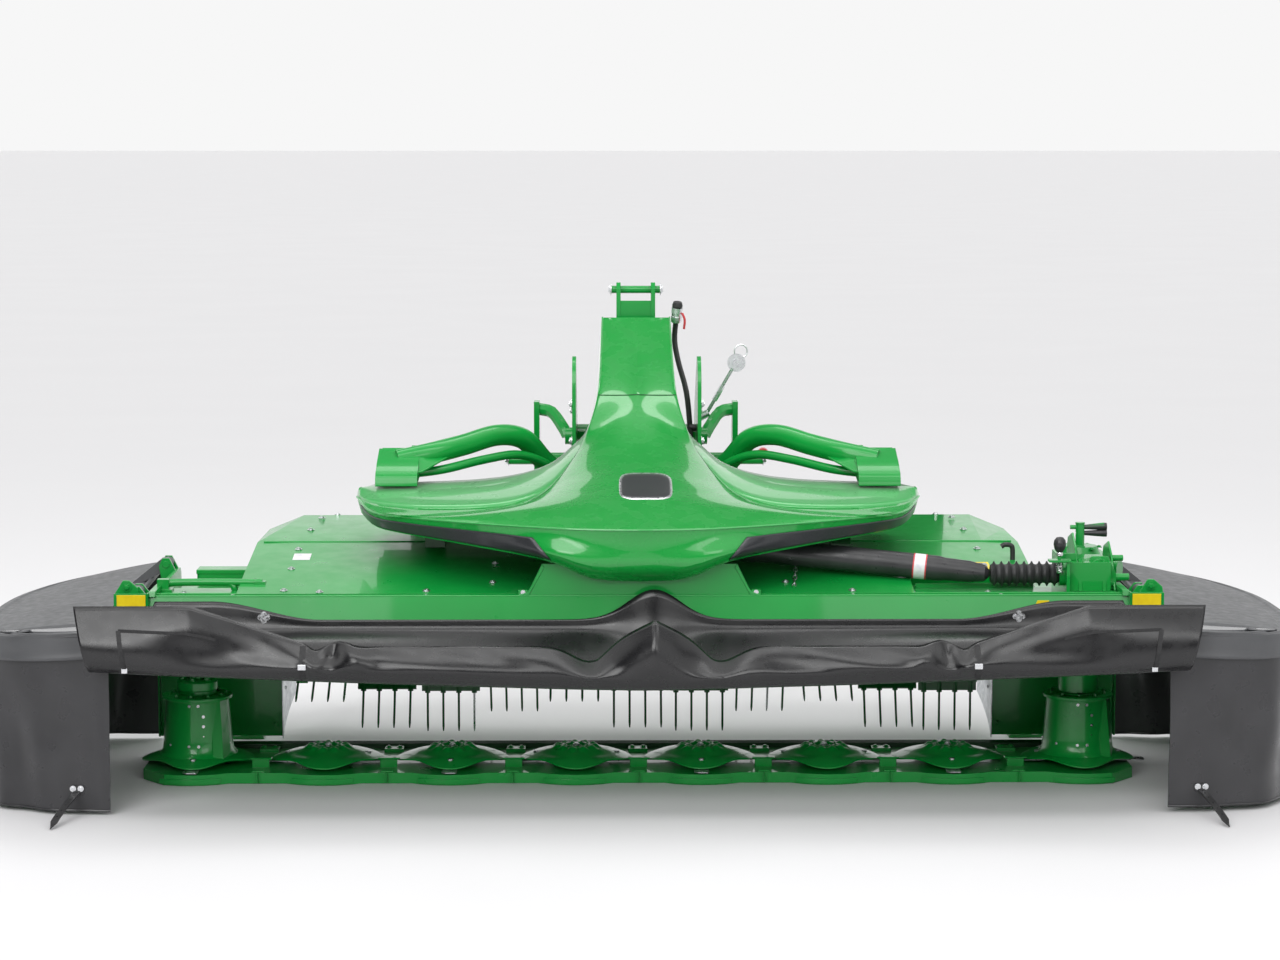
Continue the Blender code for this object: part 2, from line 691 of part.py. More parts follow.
def build_rotor():
    """The tine rotor: a tube with short tine bars, three to a station, turned 30 degrees a step."""
    end = HOOD_HALF - HOOD_WALL - GAP - SIDE_WALL_THICK - GAP
    half = ROTOR_TUBE_HALF
    outer, inner = ROTOR_TUBE_RADIUS, ROTOR_TUBE_RADIUS - ROTOR_WALL
    stub, bore = ROTOR_STUB_RADIUS, ROTOR_BORE_RADIUS
    web = half - 0.010
    tube_body = turned(
        "tine_rotor",
        [(bore, end), (stub, end), (stub, half), (outer, half), (outer, -half), (stub, -half),
         (stub, -end), (bore, -end), (bore, -web), (inner, -web), (inner, web), (bore, web),
         (bore, end)],
        (0, 0, 0), (1, 0, 0), DARK_GREEN, 18,
    )
    form = bmesh.new()

    def add_block(low, high, turn):
        low, high = Vector(low), Vector(high)
        made = bmesh.ops.create_cube(form, size=1.0)["verts"]
        for vert in made:
            vert.co = Vector(a * b for a, b in zip(vert.co, high - low)) + (low + high) / 2
        bmesh.ops.rotate(form, verts=made, cent=(0, 0, 0), matrix=Matrix.Rotation(turn, 3, "X"))

    half_tine = TINE_WIDTH / 2
    for group in range(TINE_GROUPS):
        x = (group - (TINE_GROUPS - 1) / 2) * GROUP_PITCH
        for cluster in range(CLUSTERS):
            turn = (group - 6) * GROUP_TURN + cluster * 2 * math.pi / CLUSTERS
            add_block((x - 0.092, -0.016, -TINE_BAR_RADIUS),
                      (x + 0.092, 0.016, -ROTOR_TUBE_RADIUS + ROTOR_WALL * 0.8), turn)
            for k in range(TINES_PER_GROUP):
                tx = x + (k - (TINES_PER_GROUP - 1) / 2) * TINE_PITCH
                add_block((tx - half_tine, -half_tine, -TINE_TIP_RADIUS),
                          (tx + half_tine, half_tine, -TINE_BAR_RADIUS + 0.004), turn)
    tines = mesh_object("rotor_tines", form, DARK_GREEN)
    combine(tube_body, [tines])
    tube_body.modifiers[0].use_self = True
    tube_body.location = (0, ROTOR_Y, ROTOR_Z)
    tines.location = (0, ROTOR_Y, ROTOR_Z)
    return tube_body


def build_swath_plate(tag, side):
    """A rear swath plate: a sheet on an upright knuckle, toed in."""
    low, high = SWATH_LOW, SWATH_HIGH
    knuckle = rod(f"swath_plate_{tag}", (0, 0, low), (0, 0, high), 0.013, GREEN, 16)
    sheet = prism(f"swath_sheet_{tag}",
                  [(0.004, low + 0.004), (SWATH_LENGTH, low + 0.060), (SWATH_LENGTH, high - 0.080),
                   (0.004, high - 0.004)], "X", -0.002, 0.002, GALVANISED)
    sheet.data.transform(Matrix.Rotation(side * SWATH_ANGLE, 4, "Z"))
    pivot = (side * SWATH_PIVOT_X, SWATH_PIVOT_Y, 0)
    sheet.location = pivot
    knuckle.location = pivot
    return combine(knuckle, [sheet])


# ---- Parking stands -----------------------------------------------------------------------------
def build_stand(tag, side):
    """A square leg on a cross pin, with a foot plate a little ahead of the pin."""
    half = STAND_TUBE / 2
    leg = box(f"parking_stand_{tag}", (-half, -half, -STAND_PIVOT_Z + 0.008), (half, half, 0.045),
              GREEN)
    foot = box(f"stand_foot_{tag}", (-STAND_FOOT / 2, -STAND_FOOT / 2 - 0.030, -STAND_PIVOT_Z),
               (STAND_FOOT / 2, STAND_FOOT / 2 - 0.030, -STAND_PIVOT_Z + 0.010), GREEN)
    knob = rod(f"stand_knob_{tag}", (side * (half - 0.002), 0, 0), (side * (half + 0.022), 0, 0),
               0.016, STEEL, 12)
    pivot = (side * STAND_X, STAND_PIVOT_Y, STAND_PIVOT_Z)
    for piece in (leg, foot, knob):
        piece.location = pivot
    return combine(leg, [foot, knob])


# ---- Side guards --------------------------------------------------------------------------------
def guard_outline(inset=0.0):
    """The guard's D shape from above, as (distance out from the hinge line, y)."""
    middle = (GUARD_FRONT + GUARD_REAR) / 2
    half = (GUARD_REAR - GUARD_FRONT) / 2 - inset
    reach = GUARD_OUT - GUARD_IN - inset
    curve = []
    for i in range(GUARD_POINTS + 1):
        angle = -math.pi / 2 + math.pi * i / GUARD_POINTS
        c, s = abs(math.cos(angle)), math.sin(angle)
        c = 0.0 if i in (0, GUARD_POINTS) else c
        curve.append((GUARD_IN + reach * c**GUARD_SQUARE,
                      middle + half * math.copysign(abs(s) ** GUARD_SQUARE, s)))
    return curve


def guard_front_y(out, inset):
    """Where the front of the D lies, at a distance out from the hinge line."""
    edge = guard_outline(inset)
    for (a, ya), (b, yb) in zip(edge, edge[1:]):
        if a <= out <= b:
            return ya + (yb - ya) * (out - a) / (b - a)
    return edge[0][1]


def guard_height(out, y):
    """Height of the guard's top skin: high at the hinge side, falling to the rim."""
    t = (out - GUARD_IN) / (GUARD_OUT - GUARD_IN)
    rear = (y - GUARD_FRONT) / (GUARD_REAR - GUARD_FRONT)
    return GUARD_RIM_Z + 0.025 * (1 - t) + 0.040 * (1 - t) * rear


def build_side_guard(tag, side):
    """The moulded guard: a crowned top with a rolled rim, and two hinge lugs at its inner edge."""
    form = bmesh.new()
    edge = guard_outline()
    rows = []
    for t in (0.0, 0.35, 0.7, 0.93, 1.0):
        rows.append([])
        for out, y in edge:
            a = GUARD_IN + (out - GUARD_IN) * t
            drop = 0.006 * min(1.0, (out - GUARD_IN) / 0.1) if t == 1.0 else 0.0
            rows[-1].append(form.verts.new((side * (HINGE_X + a), y, guard_height(a, y) - drop)))
    rows.append([form.verts.new((side * (HINGE_X + out), y,
                                 guard_height(out, y) - GUARD_RIM_HEIGHT)) for out, y in edge])
    for a, b in zip(rows, rows[1:]):
        for i in range(len(a) - 1):
            corners = {tuple(round(c, 6) for c in v.co): v
                       for v in (a[i], b[i], b[i + 1], a[i + 1])}
            if len(corners) > 2:
                form.faces.new(list(corners.values()))
    skin = mesh_object(f"side_guard_{tag}", form, GREY_PLASTIC)
    face_away(skin, (side * (HINGE_X + 0.2), 0, 0.2))
    skin = thicken(skin, GUARD_WALL)
    added = []
    for place, y in enumerate((FRONT_LUG_Y, REAR_LUG_Y)):
        out = GUARD_IN + 0.060
        skin_z = guard_height(out, y)
        ring = [(side * (HINGE_X - 0.018), HINGE_Z - 0.006),
                (side * (HINGE_X + 0.006), HINGE_Z - 0.022),
                (side * (HINGE_X + out), skin_z - 0.012),
                (side * (HINGE_X + out), skin_z + 0.004),
                (side * (HINGE_X + 0.018), HINGE_Z + 0.014),
                (side * (HINGE_X - 0.012), HINGE_Z + 0.018)]
        hole = [(side * HINGE_X, HINGE_Z, HINGE_PIN_RADIUS + HINGE_CLEARANCE)]
        added.append(prism(f"guard_lug_{tag}_{place}", ring, "Y", y - LUG_HALF, y + LUG_HALF,
                           GREY_PLASTIC, hole))
    return combine(skin, added)


def build_side_curtain(tag, side):
    """The canvas that hangs from the guard's rim down to just above the ground."""
    form = bmesh.new()
    edge = guard_outline(GUARD_WALL + 2 * GAP)
    edge[0] = (GUARD_IN + 0.010, edge[0][1])
    edge[-1] = (GUARD_IN + 0.010, edge[-1][1])
    top = [form.verts.new((side * (HINGE_X + out), y, guard_height(out, y) - 0.030))
           for out, y in edge]
    low = [form.verts.new((side * (HINGE_X + out), y, CURTAIN_LOW)) for out, y in edge]
    for i in range(len(edge) - 1):
        form.faces.new((top[i], low[i], low[i + 1], top[i + 1]))
    sheet = mesh_object(f"side_curtain_{tag}", form, CANVAS)
    face_away(sheet, (side * (HINGE_X + 0.20), 0, 0.3))
    return thicken(sheet, CURTAIN_THICK)


def build_strap(tag, side):
    """A rubber strap fixed low on the front of the side curtain, reaching forward to the ground."""
    out = STRAP_OUT
    half = STRAP_WIDTH / 2
    inset = GUARD_WALL + 2 * GAP
    face_y = min(guard_front_y(out - half, inset), guard_front_y(out + half, inset)) - GAP
    x = side * (HINGE_X + out)
    top = [(face_y, 0.100), (face_y - 0.007, 0.098), (face_y - 0.010, 0.088),
           (face_y - 0.065, 0.068), (face_y - 0.130, 0.038), (face_y - 0.190, 0.011)]
    under = [(face_y - 0.188, 0.004), (face_y - 0.126, 0.031), (face_y - 0.062, 0.061),
             (face_y - 0.012, 0.078), (face_y, 0.060)]
    return prism(f"guard_strap_{tag}", top + under, "X", x - half, x + half, RUBBER)


# ---- Front curtain ------------------------------------------------------------------------------
def curtain_hem(x):
    """Height of the folded-up front hem: held at the ends and the middle, sagging between."""
    reach = abs(x)
    held_end, held_middle, sag = 0.606, 0.640, 0.475
    if reach > 1.270:
        return held_end
    if reach > 0.900:
        t = (reach - 0.900) / 0.370
        return sag + 0.030 + (held_end - sag - 0.030) * t
    if reach > 0.180:
        return sag + 0.030 * (reach - 0.180) / 0.720
    return held_middle - (held_middle - sag) * (reach / 0.180) ** 0.8


def build_front_curtain():
    """Coated canvas, fixed along the front beam, falling forward and folded up in front."""
    form = bmesh.new()
    stations = (-1.600, -1.500, -1.405, -1.270, -1.080, -0.900, -0.600, -0.300, -0.180, -0.090,
                0.0, 0.090, 0.180, 0.300, 0.600, 0.900, 1.080, 1.270, 1.405, 1.500, 1.600)
    rows = []
    for x in stations:
        spread = abs(x) / FRONT_CURTAIN_HALF
        low = 0.372 + 0.058 * spread**2
        hem = curtain_hem(x)
        fixed = [(beam_face(0.575) - CURTAIN_OFF, 0.575), (beam_face(0.500) - CURTAIN_OFF, 0.500),
                 (-0.600, low + 0.030)]
        free = [(-0.616, 0.575), (-0.617, 0.500), (-0.622, low + 0.030)]
        profile = [*(fixed if abs(x) <= APRON_HALF + 0.001 else free),
                   (-0.645, low),
                   (-0.680, low + 0.022),
                   (-0.700, low + (hem - low) * 0.5),
                   (-0.690, hem)]
        rows.append([form.verts.new((x, y, z)) for y, z in profile])
    for a, b in zip(rows, rows[1:]):
        for i in range(len(a) - 1):
            form.faces.new((a[i], b[i], b[i + 1], a[i + 1]))
    sheet = mesh_object("front_curtain", form, CANVAS)
    return thicken(sheet, FRONT_CURTAIN_THICK, 0.0)


# ---- Cowl ---------------------------------------------------------------------------------------
SPINE = ((0, 0.860, 1.338), (0, 0.410, 1.120), (0, 0.150, 1.000), (0, -0.100, 0.925),
         (0, -0.320, 0.872), (0, -0.540, 0.812))
CREASE = ((0.110, 0.860, 1.338), (0.122, 0.410, 1.120), (0.165, 0.290, 0.985),
          (0.207, 0.180, 0.925), (0.268, 0.000, 0.875), (0.352, -0.120, 0.846),
          (0.460, -0.165, 0.832), (0.660, -0.145, 0.828), (0.800, -0.045, 0.832),
          (0.856, 0.060, 0.840))
LIP = ((0, -0.540, 0.812), (0.160, -0.522, 0.812), (0.310, -0.466, 0.812),
       (0.520, -0.350, 0.812), (0.700, -0.215, 0.812), (0.800, -0.100, 0.814),
       (0.856, 0.060, 0.840))
REAR_EDGE = ((0.118, 0.950, 1.255), (0.132, 0.650, 1.100), (0.160, 0.530, 1.000),
             (0.215, 0.420, 0.950), (0.275, 0.330, 0.912), (0.370, 0.260, 0.888),
             (0.500, 0.215, 0.876), (0.680, 0.195, 0.870), (0.790, 0.175, 0.868),
             (0.846, 0.110, 0.862))
FOOT_EDGE = ((0, -0.452, 0.652), (0.140, -0.462, 0.662), (0.262, -0.462, 0.712),
             (0.500, -0.352, 0.745), (0.690, -0.212, 0.760), (0.786, -0.098, 0.768),
             (0.842, 0.060, 0.790))


def sample(points, count):
    """Evenly numbered points along a smooth path."""
    path = smooth(points, 12)
    lengths = [0.0]
    for a, b in zip(path, path[1:]):
        lengths.append(lengths[-1] + (b - a).length)
    found = []
    for i in range(count + 1):
        goal = lengths[-1] * i / count
        k = max(j for j in range(len(lengths)) if lengths[j] <= goal + 1e-9)
        if k == len(path) - 1:
            found.append(path[-1])
            continue
        t = (goal - lengths[k]) / (lengths[k + 1] - lengths[k])
        found.append(path[k].lerp(path[k + 1], t))
    return found


def cowl_grid(across, along):
    """The front face as a patch between the spine, the crease, the neck and the lip."""
    spine, crease = sample(SPINE, along), sample(CREASE, along)
    neck = [Vector(SPINE[0]).lerp(Vector(CREASE[0]), j / across) for j in range(across + 1)]
    lip = sample(LIP, across)
    rows = []
    for i in range(along + 1):
        u = i / along
        row = []
        for j in range(across + 1):
            v = j / across
            sides = spine[i] * (1 - v) + crease[i] * v
            ends = neck[j] * (1 - u) + lip[j] * u
            corners = ((spine[0] * (1 - v) + crease[0] * v) * (1 - u)
                       + (spine[-1] * (1 - v) + crease[-1] * v) * u)
            row.append(sides + ends - corners)
        rows.append(row)
    return rows, crease, lip


def build_cowl():
    """The nose cowl: a thin shell with a concave neck, swept wings and an undercut chin."""
    across, along = 6, 12
    rows, crease, lip = cowl_grid(across, along)
    rear = sample(REAR_EDGE, along)
    foot = sample(FOOT_EDGE, across)
    form = bmesh.new()
    face_grid = [[form.verts.new(p) for p in row] for row in rows]
    top_grid = [[face_grid[i][-1]] + [form.verts.new(crease[i].lerp(rear[i], t))
                                     for t in (0.5, 1.0)] for i in range(along + 1)]
    low_grid = [[face_grid[-1][j]] + [form.verts.new(lip[j].lerp(foot[j], t))
                                     for t in (0.5, 1.0)] for j in range(across + 1)]
    for grid in (face_grid, top_grid, low_grid):
        for a, b in zip(grid, grid[1:]):
            for i in range(len(a) - 1):
                form.faces.new((a[i], b[i], b[i + 1], a[i + 1]))
    tip = (face_grid[-1][-1], top_grid[-1][1], low_grid[-1][1])
    form.faces.new(tip)
    tip_rear = (top_grid[-1][1], top_grid[-1][2], low_grid[-1][2], low_grid[-1][1])
    form.faces.new(tip_rear)
    half = mesh_object("cowl", form, GREEN)
    face_away(half, (0.3, 0.3, 0.5))
    mirror = half.modifiers.new("other_half", "MIRROR")
    mirror.merge_threshold = 1e-5
    return thicken(half, COWL_WALL)


def underside(obj, x, y, radius):
    """The lowest height of a thin shell above a round pad of this radius at (x, y)."""
    form = bmesh.new()
    form.from_mesh(obj.data)
    tree = BVHTree.FromBMesh(form)
    form.free()
    heights = []
    for i in range(8):
        angle = i * math.pi / 4
        start = Vector((x + radius * math.cos(angle), y + radius * math.sin(angle), BEAM_HIGH))
        hit = tree.ray_cast(start, Vector((0, 0, 1)))[0]
        heights.append(hit.z)
    return min(heights)


# ---- Carrier: beam, arms, headstock, hitch ------------------------------------------------------
def hood_top(y):
    """Height of the hood's sloping top along its middle part."""
    for (a, za), (b, zb) in zip(HOOD_PROFILE, HOOD_PROFILE[1:]):
        if a <= y <= b:
            return za + (zb - za) * (y - a) / (b - a)
    raise ValueError("outside the hood")


def build_carrier_beam(cowl):
    """The cross beam under the wings, with links down to the hood and pads up to the cowl."""
    beam = box("carrier_beam", (-BEAM_HALF, BEAM_FRONT, BEAM_LOW), (BEAM_HALF, BEAM_REAR, BEAM_HIGH),
               DARK_GREEN)
    carve(beam, [box("shaft_way", (-ARCH_HALF, BEAM_FRONT - 0.01, BEAM_LOW - 0.01),
                     (ARCH_HALF, BEAM_REAR + 0.01, BEAM_HIGH + 0.01), DARK_GREEN)])
    wall = BEAM_HIGH - BEAM_LOW
    arch = [(-ARCH_HALF - wall, BEAM_LOW + 0.002), (-ARCH_HALF + 0.003, BEAM_LOW + 0.002),
            (-ARCH_HALF + 0.003, ARCH_Z), (ARCH_HALF - 0.003, ARCH_Z),
            (ARCH_HALF - 0.003, BEAM_LOW + 0.002), (ARCH_HALF + wall, BEAM_LOW + 0.002),
            (ARCH_HALF + wall, ARCH_Z + 0.020), (ARCH_HALF + wall - 0.035, ARCH_Z + 0.055),
            (-ARCH_HALF - wall + 0.035, ARCH_Z + 0.055), (-ARCH_HALF - wall, ARCH_Z + 0.020)]
    added = [prism("beam_arch", arch, "Y", BEAM_FRONT + 0.002, BEAM_REAR - 0.002, DARK_GREEN)]
    for side in (-1, 1):
        x = side * LINK_X
        front, rear = 0.080, 0.140
        outline = [(front, hood_top(front) + 2 * GAP), (rear, hood_top(rear) + 2 * GAP),
                   (rear, BEAM_LOW + 0.01), (front, BEAM_LOW + 0.01)]
        added.append(prism(f"deck_link_{side}", outline, "X", x - 0.030, x + 0.030, DARK_GREEN))
        for place, pad_x in enumerate((0.450, 0.720)):
            top = underside(cowl, side * pad_x, PAD_Y, PAD_RADIUS) - GAP
            added.append(rod(f"cowl_pad_{side}_{place}", (side * pad_x, PAD_Y, BEAM_HIGH - 0.004),
                             (side * pad_x, PAD_Y, top), PAD_RADIUS, DARK_GREEN, 12))
    return combine(beam, added)


def build_arm(tag, side):
    """A bent tube from the headstock out to a saddle on the end of the carrier beam."""
    route = [(HEADSTOCK_HALF + 0.020, 0.600, 0.830), (0.245, 0.598, 0.845), (0.300, 0.560, 0.900),
             (0.360, 0.480, 0.975), (0.440, 0.400, 0.995), (0.540, 0.310, 0.974),
             (0.640, 0.230, 0.955), (0.740, 0.205, 0.935)]
    path = smooth([(side * x, y, z) for x, y, z in route], 2)
    arm = tube(f"carrier_arm_{tag}", path, ARM_RADIUS, GREEN, 2)
    flange = rod(f"arm_flange_{tag}", (side * (HEADSTOCK_HALF + GAP), 0.600, 0.830),
                 (side * (HEADSTOCK_HALF + 0.028), 0.600, 0.830), 0.046, GREEN, 16)
    saddle = prism(f"saddle_{tag}",
                   [(BEAM_REAR + GAP, BEAM_LOW), (0.262, BEAM_LOW), (0.292, 0.930),
                    (0.250, 0.970), (0.080, 0.905), (0.080, 0.893), (0.2150, 0.893),
                    (0.2150, 0.860), (BEAM_REAR + GAP, 0.842)],
                   "X", side * 0.690, side * 0.790, GREEN)
    return combine(arm, [flange, saddle])


def build_headstock():
    """Two rounded side plates joined by cross tubes, with the mast for the top link."""
    inner = HEADSTOCK_HALF - HEADSTOCK_THICK
    outline = [(0.520, 0.760), (0.520, 1.130), *arc(0.620, 1.130, 0.100, math.pi, math.pi / 4, 5),
               (0.900, 1.060), (1.000, 0.980), (1.000, 0.790), (0.880, 0.740)]
    left = prism("headstock", outline, "X", -HEADSTOCK_HALF, -inner, GREEN)
    right = prism("headstock_right_plate", outline, "X", inner, HEADSTOCK_HALF, GREEN)
    cross = [rod(f"cross_tube_{i}", (-inner - 0.004, y, z), (inner + 0.004, y, z), 0.030, GREEN, 16)
             for i, (y, z) in enumerate(((0.600, 0.830), (0.940, 0.950)))]
    mast = prism("mast", [(0.905, 0.960), (0.975, 0.930), (0.990, 1.310), (0.930, 1.310)], "X",
                 -0.045, 0.045, GREEN)
    return combine(left, [*cross, right, mast])


def build_top_link_bracket():
    """Two ears on the mast with the top-link pin through them."""
    top = TOP_LINK_Z + 0.024
    outline = [(TOP_LINK_Y - 0.045, 1.270), (TOP_LINK_Y + 0.040, 1.270),
               (TOP_LINK_Y + 0.030, top - 0.012), (TOP_LINK_Y + 0.012, top),
               (TOP_LINK_Y - 0.030, top), (TOP_LINK_Y - 0.045, top - 0.020)]
    thick = 0.014
    left = prism("top_link_bracket", outline, "X", -TOP_LINK_EAR_X - thick, -TOP_LINK_EAR_X, GREEN)
    right = prism("top_link_ear", outline, "X", TOP_LINK_EAR_X, TOP_LINK_EAR_X + thick, GREEN)
    web = box("top_link_web", (-TOP_LINK_EAR_X - 0.004, TOP_LINK_Y - 0.042, 1.3103),
              (TOP_LINK_EAR_X + 0.004, TOP_LINK_Y - 0.030, 1.390), GREEN)
    seat = box("top_link_seat", (-TOP_LINK_EAR_X - 0.004, TOP_LINK_Y - 0.042, 1.3103),
               (TOP_LINK_EAR_X + 0.004, TOP_LINK_Y + 0.030, 1.322), GREEN)
    pin = rod("top_link_pin", (-TOP_LINK_EAR_X - 0.030, TOP_LINK_Y, TOP_LINK_Z),
              (TOP_LINK_EAR_X + 0.030, TOP_LINK_Y, TOP_LINK_Z), 0.0125, STEEL, 16)
    return combine(left, [web, seat, right, pin])


def build_link_bracket(tag, side):
    """A lower-link plate on two tubes from the headstock, with its pin outside."""
    x0, x1 = LINK_PLATE_X, LINK_PLATE_X + LINK_PLATE_THICK
    outline = [(0.860, 1.060), (0.860, 0.860), (0.885, 0.800), (0.975, 0.800), (0.985, 0.900),
               (0.930, 1.060)]
    plate = prism(f"lower_link_bracket_{tag}", outline, "X", side * x0, side * x1, GREEN)
    start = HEADSTOCK_HALF + GAP
    low = rod(f"link_tube_low_{tag}", (side * start, LINK_PIN_Y, LINK_PIN_Z),
              (side * (x0 + 0.004), LINK_PIN_Y, LINK_PIN_Z), 0.026, GREEN, 16)
    high = tube(f"link_tube_high_{tag}",
                smooth([(side * (start + 0.018), 0.790, 0.955), (side * 0.235, 0.800, 0.975),
                        (side * 0.275, 0.860, 1.025), (side * (x0 + 0.004), 0.885, 1.035)], 3),
                0.020, GREEN, 2)
    foot = rod(f"link_foot_{tag}", (side * start, 0.790, 0.955), (side * (start + 0.026), 0.790, 0.955),
               0.028, GREEN, 16)
    pin = rod(f"link_pin_{tag}", (side * (x1 - 0.002), LINK_PIN_Y, LINK_PIN_Z),
              (side * (x1 + LINK_PIN_LENGTH), LINK_PIN_Y, LINK_PIN_Z), LINK_PIN_RADIUS, STEEL, 16)
    return combine(plate, [low, high, foot, pin])


# ---- Drive --------------------------------------------------------------------------------------
def build_pedestal():
    """The centre block on the deck, under the nose."""
    low, high = DECK_TOP + GAP, PEDESTAL_FRONT_TOP
    outline = [(-0.340, low), (0.340, low), (0.325, low + 0.008), (0.283, high), (-0.283, high),
               (-0.325, low + 0.008)]
    front, rear = -0.427, -0.060
    block = prism("centre_pedestal", outline, "Y", front, front + 0.012, GREEN)
    sides = []
    for side in (-1, 1):
        a, b = sorted((side * 0.255, side * 0.270))
        cheek = prism(f"pedestal_cheek_{side}",
                      [(front + 0.010, DECK_TOP + 0.010), (front + 0.010, PEDESTAL_SEAT),
                       (rear, PEDESTAL_SEAT),
                       *((y, hood_top(y) + 2 * GAP) for y in (rear, -0.205, -0.240, -0.400))],
                      "X", a, b, GREEN)
        sides.append(cheek)
    top = box("pedestal_top", (-0.270, front + 0.010, PEDESTAL_SEAT - 0.003),
              (0.270, rear, PEDESTAL_SEAT), GREEN)
    return combine(block, [*sides, top])


def build_centre_gearbox():
    """The centre gearbox on the pedestal: a block with a rear input and its guard."""
    seat = PEDESTAL_SEAT + GAP
    case = box("gearbox_centre", (-0.110, -0.270, seat), (0.130, -0.075, 0.790), GREEN)
    lid = box("gearbox_lid", (-0.095, -0.255, 0.788), (0.115, -0.090, 0.802), GREEN)
    out = rod("gearbox_out", (0.128, SHAFT_START.y, SHAFT_START.z),
              (GEARBOX_OUT_X, SHAFT_START.y, SHAFT_START.z), 0.034, GREEN, 16)
    stub = rod("gearbox_input", (0.010, -0.077, INPUT_Z), (0.010, 0.035, INPUT_Z), 0.020, STEEL, 16)
    return combine(case, [lid, out, stub])


def build_input_guard():
    """The plastic cone round the input stub."""
    profile = [(0.052, 0.100), (0.060, 0.0), (0.0560, 0.0), (0.048, 0.100), (0.052, 0.100)]
    data = [(r, h) for r, h in profile[:-1]]
    shell = turned("input_guard", [*data, data[0]], (0.010, -0.075 + GAP, INPUT_Z), (0, 1, 0),
                   BLACK_PLASTIC, 20)
    return shell


def build_shaft_guard():
    """The plastic guard over the cross driveshaft: a wide cone, then a long tube."""
    along = (SHAFT_END - SHAFT_START).normalized()
    length = (SHAFT_END - SHAFT_START).length - GAP
    r = SHAFT_GUARD_RADIUS
    profile = [(0.0, length), (0.008, length), (0.022, length - 0.012), (r - 0.005, length - 0.055),
               (r, length - 0.140), (r, 0.240), (r + 0.003, 0.180), (r + 0.004, 0.080),
               (0.026, 0.014), (0.012, 0.0), (0.0, 0.0)]
    return turned("driveshaft_guard", profile, SHAFT_START, along, BLACK_PLASTIC, 20)


def build_bellows():
    """The ribbed rubber boot between the shaft guard and the right gearbox."""
    low, high = 0.028, 0.037
    length = BELLOWS_LENGTH
    profile = [(0.0, length), (low, length)]
    step = length / BELLOWS_RIBS
    for i in reversed(range(BELLOWS_RIBS)):
        profile.append((high, (i + 0.5) * step))
        profile.append((low, i * step))
    profile.append((0.0, 0.0))
    return turned("bellows", profile, SHAFT_END + Vector((BELLOWS_OFF, 0, 0)), (1, 0, 0), RUBBER, 20)


def build_right_gearbox():
    """The angle gearbox over the right drum, on its bracket, with lever post and adjuster."""
    x = disc_positions()[-1]
    seat = COVER_Z + COVER_THICK + GAP
    start = SHAFT_END.x + BELLOWS_OFF + BELLOWS_LENGTH + GAP
    case = box("gearbox_right", (start + 0.036, -0.170, seat), (x + 0.075, 0.085, 0.672), GREEN)
    bell = rod("gearbox_bell", (x - 0.005, -0.030, 0.660), (x - 0.005, -0.030, 0.700), 0.070, GREEN, 16,
               0.052)
    nose = rod("gearbox_nose", (start, SHAFT_END.y, SHAFT_END.z),
               (start + 0.080, SHAFT_END.y, SHAFT_END.z), 0.036, GREEN, 16)
    beam_rear = DECK_FRONT + DECK_DEPTH
    on_beam = DECK_TOP + GAP
    bridge = prism("gearbox_bridge", [(-0.340, on_beam), (beam_rear + 0.003, on_beam),
                                      (beam_rear + 0.003, 0.560), (-0.160, 0.560),
                                      (-0.160, 0.690), (-0.340, 0.690)],
                   "X", start + 0.030, x + 0.040, GREEN)
    ribs = [prism(f"gearbox_rib_{i}", [(-0.345, 0.6056), (-0.240, 0.6056), (-0.200, 0.645),
                                      (-0.330, 0.700)], "X", a, a + 0.010, GREEN)
            for i, a in enumerate((start + 0.055, start + 0.125))]
    post = rod("lever_post", (x - 0.010, -0.060, 0.690), (x - 0.010, -0.060, 0.752), 0.012, GREEN, 12)
    flange = rod("gearbox_flange", (x + 0.045, -0.100, 0.640), (x + 0.100, -0.130, 0.640), 0.030,
                 GREEN, 14)
    return combine(case, [bell, nose, bridge, *ribs, post, flange])


def build_shift_lever():
    """The shift lever: a rod with a long grip, lying across the post."""
    x = disc_positions()[-1]
    post = (x - 0.010, -0.060)
    rod_body = rod("shift_lever", (post[0] - 0.030, post[1], 0.7593), (post[0] + 0.015, post[1], 0.7593),
                   0.0065, STEEL, 10)
    grip = rod("lever_grip", (post[0] + 0.012, post[1], 0.7593), (post[0] + 0.072, post[1], 0.7620),
               0.007, BLACK_PLASTIC, 10, 0.011)
    return combine(rod_body, [grip])


def build_adjuster():
    """The tension adjuster: a threaded rod with a round knob on a small ledge."""
    x = SHAFT_END.x + BELLOWS_LENGTH
    ledge = box("adjuster", (x - 0.034, -0.372, 0.6945), (x + 0.0300, -0.336, 0.7010), GREEN)
    stem = rod("adjuster_stem", (x - 0.004, -0.354, 0.660), (x - 0.002, -0.354, 0.730), 0.005, STEEL,
               10)
    knob = turned("adjuster_knob", [(0.0, 0.044), (0.010, 0.042), (0.017, 0.030), (0.016, 0.014),
                                    (0.008, 0.0), (0.0, 0.0)], (x - 0.002, -0.354, 0.722),
                  (0, 0, 1), BLACK_PLASTIC, 14)
    leg = box("adjuster_leg", (x + 0.018, -0.366, DECK_TOP + GAP), (x + 0.028, -0.346, 0.700), GREEN)
    return combine(ledge, [stem, knob, leg])


def build_tool_box():
    """A long narrow box on the left side wall."""
    face = HOOD_HALF + GAP
    body = box("tool_box", (-1.380, 0.320, 0.5380), (-face, 0.400, 0.5780), GREEN)
    bevel = body.modifiers.new("edges", "BEVEL")
    bevel.width = 0.006
    bevel.segments = 1
    return body


